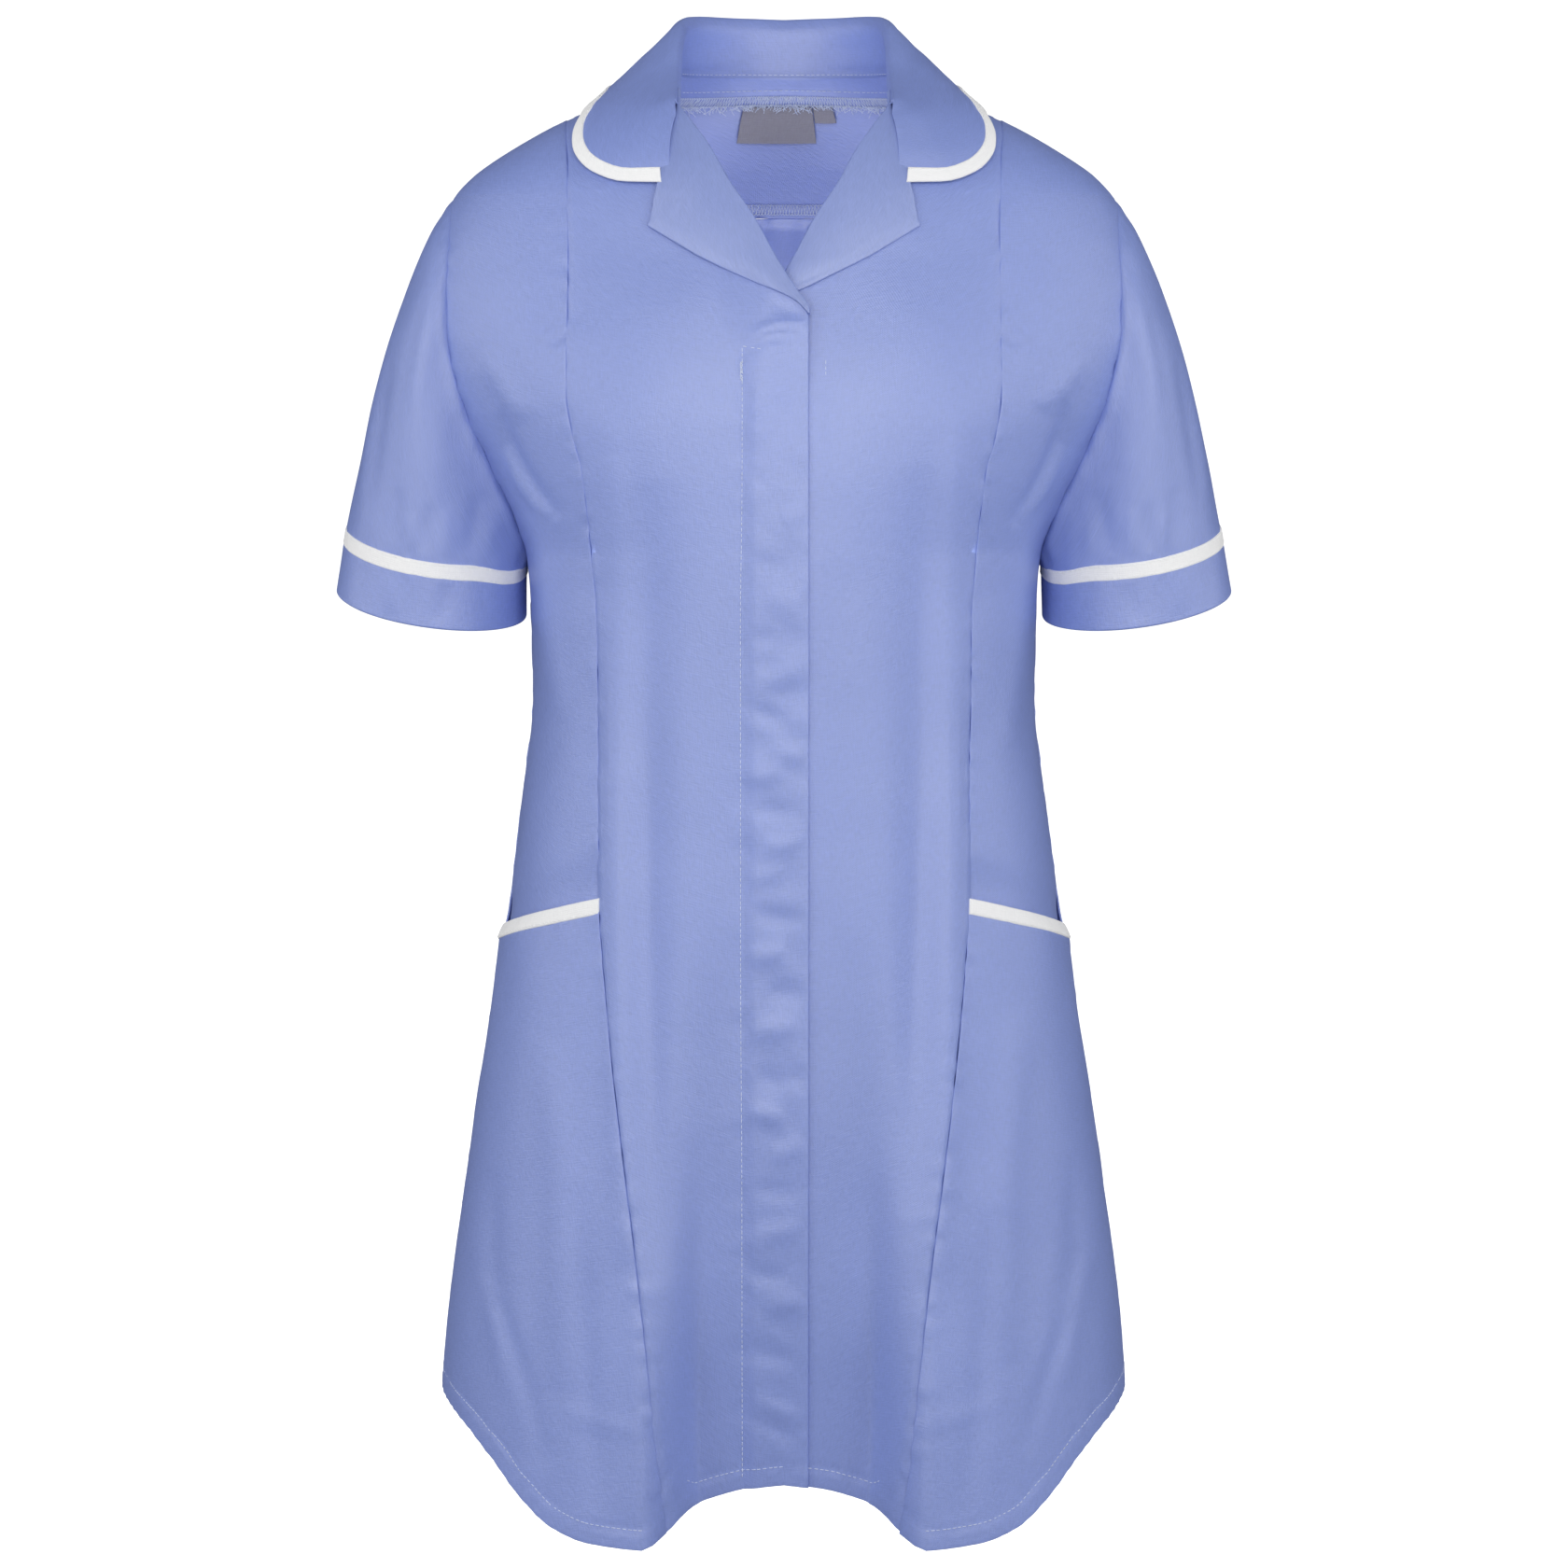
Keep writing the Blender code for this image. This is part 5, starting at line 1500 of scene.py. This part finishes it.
def neck_stitches(sizes):
    """A row at the foot of the collar's stand, and one through the seam allowance below it."""
    grid, samples, _ = collar_grid()
    normals = outward(grid)
    row = np.interp(STAND_ROW, samples, np.arange(len(samples)))
    i, share = int(row), row - int(row)
    line = grid[i] * (1 - share) + grid[i + 1] * share
    away = unit(normals[i] * (1 - share) + normals[i + 1] * share)
    keep = np.abs(np.linspace(-1, 1, len(line))) < 0.74
    parts = [stitch_line((line + away * 0.55)[keep], away[keep], sizes, 221)]
    turn = back_turn(np.linspace(0.06, 1.94, 500))
    z = neck_seam_height(turn) - STRIP_ROW
    points, up = laid(*from_whole(turn), z, -(WALL + 1.0) / 2 - INSIDE_GAP - 0.7)
    parts.append(stitch_line(points, -up, sizes, 222))
    return parts


def yoke_stitches(sizes):
    """The row of stitches just above the yoke seam."""
    z = YOKE_SEAM_Z + 2.2
    turn = np.linspace(armhole_back(z) + 0.02, HALF, 500)
    return [stitch_line(*laid(side, turn, z, 0.62), sizes, 231 + side) for side in SIDES]


def overlock(turn, top, drop, depth, sizes, seed):
    """Overlocking: slanted bars over the edge of the cloth, and the loops that lie along the edge. Turn
    runs across the centre of the back, beyond half a turn on the wearer's right."""
    count = len(turn)
    shares = np.linspace(0, 1, 5)
    random = np.random.default_rng(seed)
    step = np.gradient(turn)[:, None]
    turn, top = turn[:, None], top[:, None]
    parts = []

    def sew(t, z, lift):
        centres, up = laid(*from_whole(t), z, lift)
        parts.append(tubes(centres, -up, np.full(t.shape, sizes.thread_width * 0.42)))

    for lean in (0.9, -0.35):
        t = turn + step * (lean * shares + random.uniform(-0.15, 0.15, (count, 1)))
        z = top - drop * shares - random.uniform(0, 0.5, (count, 1))
        sew(t, z, depth - 0.25 * np.sin(np.pi * shares))
    for level in (0.0, 1.0):
        z = top - drop * level + 0.5 * np.sin(2 * np.pi * shares)
        sew(turn + step * (shares * 1.1 - 0.5), z, depth - 0.2)
    return parts


def fray(turn, z, depth, length, sizes, seed):
    """Loose thread ends that hang from a cut edge, each a short bent strand."""
    random = np.random.default_rng(seed)
    count = len(turn)
    root = laid(*from_whole(turn), z, depth)[0]
    share = np.linspace(0, 1, 5)[None, :, None]
    long = length * random.uniform(0.35, 1.0, (count, 1, 1))
    lean = random.normal(0, 0.55, (count, 1, 3)) * np.array([1.0, 0.35, 0.3])
    bend = random.normal(0, 0.5, (count, 1, 3)) * np.array([1.0, 0.3, 0.4])
    way = np.array([0.0, -0.3, -1.0]) + lean
    centres = root[:, None, :] + long * (share * way + share ** 2 * bend)
    return tubes(centres, np.broadcast_to(np.array([0.0, -1.0, 0.05]), centres.shape),
                 np.full(centres.shape[:2], sizes.thread_width * 0.4))


def neck_overlock(sizes):
    """The overlocked and frayed edge of the neck's seam allowance, and the yoke seam's below it."""
    depth = -(WALL / 2 + INSIDE_GAP + 1.25)
    turn = back_turn(np.linspace(0.12, 1.88, 128))
    edge = strip_foot(turn) + 1.6
    parts = overlock(turn, edge + 5.0, 5.0, depth, sizes, 241)
    random = np.random.default_rng(242)
    ends = back_turn(random.uniform(0.14, 1.86, 420))
    parts.append(fray(ends, strip_foot(ends) + 2.2, depth, 5.0, sizes, 243))
    middle = back_turn(random.normal(1.0, 0.12, 60))
    parts.append(fray(middle, neck_seam_height(middle) - NECK_STRIP_DROP - 6.0, depth, 3.0, sizes, 244))
    turn = back_turn(np.linspace(0.3, 1.7, 120))
    parts += overlock(turn, np.full(120, YOKE_SEAM_Z + 8.0), 5.5, -0.95, sizes, 245)
    return parts


def tape_stitches(sizes):
    """The white stitches along the bindings' sewn edges."""
    rows = collar_tape(400, (0.06, 0.12, 0.18))
    normals = outward(rows)[1]
    parts = [stitch_line(rows[1] + normals * 1.24, normals, sizes, 251)]
    for side in SIDES:
        turn, z = (row[0] for row in mouth_rows([BINDING_WIDTH * 0.86], np.linspace(0.01, 0.99, 300)))
        lift = pocket_lift(turn, z) + 1.28 + body_relief(side, turn, z) * BINDING_FOLD_SHARE
        parts.append(stitch_line(*laid(side, turn, z, lift), sizes, 253))
        for share in (0.14, 0.86):
            heights = CUFF_WIDTH + BINDING_WIDTH * share + np.array([0.2, 0.0, -0.2])
            grid, normals, swing, distance, _ = sleeve_lines(cuff_rows(heights))
            lift = sleeve_relief(swing, distance, side) * SLEEVE_TAPE_FOLD_SHARE + 1.24
            line, up = lifted(grid, normals, lift)[1] * mirror(side), normals[1] * mirror(side)
            parts.append(stitch_line(line, up, sizes, 255))
    return parts


def area_light(name, place, aim, size, power, spread=HALF):
    """A rectangle of light at a place, turned to face its aim, that the camera doesn't see."""
    light = bpy.data.lights.new(name, "AREA")
    light.shape = "RECTANGLE"
    light.size, light.size_y = size
    light.energy = power
    light.spread = spread
    obj = add_object(name, light)
    obj.location = place
    obj.visible_camera = False
    toward = np.array(aim, float) - np.array(place, float)
    flat = np.hypot(toward[0], toward[1])
    obj.rotation_euler = (QUARTER + np.arctan2(toward[2], flat), 0.0, np.arctan2(-toward[0], toward[1]))
    return obj


def make_stage(settings):
    """A pale floor a figure's height below the neck, soft light from the front and above, a pale world,
    and the camera at the photograph's angle."""
    mesh = bpy.data.meshes.new("floor")
    reach, low = 14.0, -settings.floor_depth
    corners = [(x * reach, y * reach, low) for x, y in ((-1, -1), (1, -1), (1, 1), (-1, 1))]
    mesh.from_pydata(corners, [], [(0, 1, 2, 3)])
    mesh.materials.append(plain("pale_floor", (0.93, 0.93, 0.93), 0.8, 1.0))
    floor = add_object("floor", mesh)
    floor.visible_diffuse = floor.visible_glossy = False
    area_light("key_light", (0, -1.9, 0.4), (0, 0, -0.25), (0.7, 0.4), settings.key_power)
    for side in SIDES:
        for name, out, front, height, size, power in (
                ("low_light_", 0.7, -1.9, -0.24, (0.3, 0.5), settings.low_power),
                ("side_light_", 2.8, -1.9, 0.7, (0.7, 2.6), settings.side_power),
                ("edge_light_", 2.8, -0.1, 0.2, (0.7, 1.8), settings.edge_power)):
            area_light(name + hand(side), (side * out, front, height), (0, 0, -0.35), size, power)
    area_light("inner_light", (0, -0.02, -0.3), (0, 0.06, 0.03), (0.22, 0.16), settings.inner_power, 2.0)
    back = area_light("back_light", (0, 2.6, 0.6), (0, 0, -0.3), (2.4, 1.8), settings.back_power)
    back.visible_glossy = False
    world = bpy.data.worlds.new("pale_world")
    world.use_nodes = True
    nodes, links = world.node_tree.nodes, world.node_tree.links
    ground = nodes["Background"]
    ground.inputs["Color"].default_value = (1.0, 1.0, 1.0, 1.0)
    path = nodes.new("ShaderNodeLightPath")
    strength = nodes.new("ShaderNodeMapRange")
    strength.inputs["To Min"].default_value = settings.ambient
    strength.inputs["To Max"].default_value = 1.15
    links.new(path.outputs["Is Camera Ray"], strength.inputs["Value"])
    links.new(strength.outputs["Result"], ground.inputs["Strength"])
    world.cycles_visibility.glossy = False
    bpy.context.scene.world = world
    camera = add_object("camera", bpy.data.cameras.new("camera"))
    camera.data.sensor_width = 36.0
    camera.data.lens = settings.focal_length
    camera.location = (0.0, -settings.camera_distance, settings.camera_height)
    camera.rotation_euler = (QUARTER - settings.camera_pitch, 0.0, 0.0)
    bpy.context.scene.camera = camera
    bpy.context.scene.view_settings.view_transform = "Standard"


def number(name, description, default, **more):
    """A number that can be set in the panel."""
    return FloatProperty(name=name, description=description, default=default, **more)


def factor(name, description, default, most):
    """A strength from nothing to the most that makes sense, shown as a slider."""
    return number(name, description, default, min=0, max=most, subtype="FACTOR")


def colour(name, description, default):
    """A colour that can be set in the panel."""
    return FloatVectorProperty(
        name=name, description=description, default=default, subtype="COLOR", size=3, min=0, max=1)


class TunicSizes(bpy.types.PropertyGroup):
    stitch_length: number("Stitch length", "Length of one stitch, in millimetres", 2.3, min=1, max=6)
    stitch_gap: number("Stitch gap", "Gap between stitches, in millimetres", 0.9, min=0.2, max=4)
    thread_width: number("Thread width", "Width of the sewing thread, in millimetres", 0.5, min=0.1, max=1)
    hem_width: number(
        "Hem width", "Distance of the hem's stitches from its edge, in millimetres", 11.5, min=5, max=30)
    fold_strength: factor("Folds", "How strongly the cloth's soft folds stand out", 1.0, 2)
    pucker_strength: factor("Puckers", "How strongly seams pucker the cloth beside them", 1.0, 2)


class TunicColours(bpy.types.PropertyGroup):
    cloth: colour("Cloth", "Colour of the blue cloth", (0.22, 0.3, 0.7))
    # the lapel colour is partly the cloth's other face and partly painted sheen: lighter and greyer than the
    # cloth, for the light that the lapels catch
    lapel: colour("Lapel", "Colour of the cloth's side that shows on the lapels", (0.232, 0.308, 0.67))
    binding: colour("Binding", "Colour of the white tape and its thread", (0.95, 0.955, 0.975))
    label: colour("Label", "Colour of the bare label and size tab", (0.3, 0.29, 0.33))
    thread: colour("Thread", "Colour of the blue sewing thread", (0.7, 0.77, 0.98))
    roughness: factor("Roughness", "Roughness of the blue cloth", 0.47, 1)
    contrast: factor("Grain", "How strongly the yarns' tone varies", 0.5, 1)


class TunicStage(bpy.types.PropertyGroup):
    camera_distance: number("Camera distance", "Distance in front of the tunic's centre", 2.6, unit="LENGTH")
    camera_height: number("Camera height", "Height above the neck seam", -0.232, unit="LENGTH")
    camera_pitch: number("Camera pitch", "How far the camera looks down", 0.072566, unit="ROTATION")
    focal_length: number("Focal length", "Focal length on a 36 mm sensor, in millimetres", 100.55)
    floor_depth: number("Floor depth", "Depth of the floor below the neck seam", 1.35, unit="LENGTH")
    key_power: number("Key light", "Power of the light above the camera", 8.2, unit="POWER")
    edge_power: number("Edge lights", "Power of each light beside the tunic", 9.4, unit="POWER")
    low_power: number("Low lights", "Power of each light beside the camera", 4.3, unit="POWER")
    side_power: number("Side lights", "Power of each tall light at the sides", 17.8, unit="POWER")
    back_power: number("Back light", "Power of the light behind the tunic", 20.0, unit="POWER")
    inner_power: number("Inner light", "Power of the small light inside the neck", 0.15, unit="POWER")
    ambient: number("Ambient", "Strength of the even light from all round", 0.44, min=0, max=2)


class TUNIC_OT_fronts(bpy.types.Operator):
    """Build both fronts, with the fly, its bubbles and the folds that fall from the bust"""

    bl_idname = "tunic.fronts"
    bl_label = "Fronts"

    def execute(self, context):
        for side in SIDES:
            make_front(side)
            make_side_front(side)
        return {"FINISHED"}


class TUNIC_OT_pockets(bpy.types.Operator):
    """Build both pocket fronts and the bindings on their mouths"""

    bl_idname = "tunic.pockets"
    bl_label = "Pockets"

    def execute(self, context):
        for side in SIDES:
            make_pocket(side)
            make_pocket_binding(side)
        return {"FINISHED"}


class TUNIC_OT_back(bpy.types.Operator):
    """Build the back yoke and the back with its box pleat"""

    bl_idname = "tunic.back"
    bl_label = "Back and yoke"

    def execute(self, context):
        make_yoke()
        make_back()
        return {"FINISHED"}


class TUNIC_OT_sleeves(bpy.types.Operator):
    """Build both sleeves with their bindings and cuffs"""

    bl_idname = "tunic.sleeves"
    bl_label = "Sleeves"

    def execute(self, context):
        for side in SIDES:
            make_sleeve(side)
            make_sleeve_binding(side)
            make_cuff(side)
        return {"FINISHED"}


class TUNIC_OT_collar(bpy.types.Operator):
    """Build the collar, its binding and both lapels"""

    bl_idname = "tunic.collar"
    bl_label = "Collar and lapels"

    def execute(self, context):
        make_collar()
        make_collar_binding()
        for side in SIDES:
            make_lapel(side)
        return {"FINISHED"}


class TUNIC_OT_neck(bpy.types.Operator):
    """Build what shows inside the back neck: the seam allowance, the bare label and the bare size tab"""

    bl_idname = "tunic.neck"
    bl_label = "Inside the neck"

    def execute(self, context):
        make_neck_strip()
        make_label("label_ribbon", LABEL_MIDDLE_X, LABEL_SIZE)
        tab = LABEL_MIDDLE_X + (LABEL_SIZE[0] + SIZE_TAB_SIZE[0]) / 2 + 0.6
        make_label("size_tab_ribbon", tab, SIZE_TAB_SIZE)
        return {"FINISHED"}


class TUNIC_OT_sewing(bpy.types.Operator):
    """Lay every row of stitches, the overlocking and its loose ends"""

    bl_idname = "tunic.sewing"
    bl_label = "Sewing"

    def execute(self, context):
        sizes = context.scene.tunic_sizes
        for name, sew in (("fly_stitches", fly_stitches), ("hem_stitches", hem_stitches),
                          ("neck_stitches", neck_stitches), ("yoke_stitches", yoke_stitches),
                          ("overlocking", neck_overlock)):
            thread_piece(name, sew(sizes), "sewing_thread")
        thread_piece("binding_stitches", tape_stitches(sizes), "white_thread")
        return {"FINISHED"}


class TUNIC_OT_stage(bpy.types.Operator):
    """Set up the floor, the lights, the world and the camera"""

    bl_idname = "tunic.stage"
    bl_label = "Stage"

    def execute(self, context):
        make_stage(context.scene.tunic_stage)
        return {"FINISHED"}


OPERATORS = (TUNIC_OT_fronts, TUNIC_OT_pockets, TUNIC_OT_back, TUNIC_OT_sleeves, TUNIC_OT_collar,
             TUNIC_OT_neck, TUNIC_OT_sewing, TUNIC_OT_stage)


class TUNIC_PT_panel(bpy.types.Panel):
    """The tunic's sizes and colours, and a button for each group of pieces"""

    bl_idname = "TUNIC_PT_panel"
    bl_label = "Maternity tunic"
    bl_space_type = "VIEW_3D"
    bl_region_type = "UI"
    bl_category = "Tunic"

    def draw(self, context):
        scene = context.scene
        for group in (scene.tunic_sizes, scene.tunic_colours, scene.tunic_stage):
            for name in group.bl_rna.properties.keys():
                if name not in ("rna_type", "name"):
                    self.layout.prop(group, name)
        for operator in OPERATORS:
            self.layout.operator(operator.bl_idname)


CLASSES = (TunicSizes, TunicColours, TunicStage, *OPERATORS, TUNIC_PT_panel)


def register():
    for cls in CLASSES:
        bpy.utils.register_class(cls)
    bpy.types.Scene.tunic_sizes = PointerProperty(type=TunicSizes)
    bpy.types.Scene.tunic_colours = PointerProperty(type=TunicColours)
    bpy.types.Scene.tunic_stage = PointerProperty(type=TunicStage)


def unregister():
    del bpy.types.Scene.tunic_stage
    del bpy.types.Scene.tunic_colours
    del bpy.types.Scene.tunic_sizes
    for cls in reversed(CLASSES):
        bpy.utils.unregister_class(cls)


def main():
    register()
    for operator in OPERATORS:
        group, name = operator.bl_idname.split(".")
        getattr(getattr(bpy.ops, group), name)()


if __name__ == "__main__":
    main()
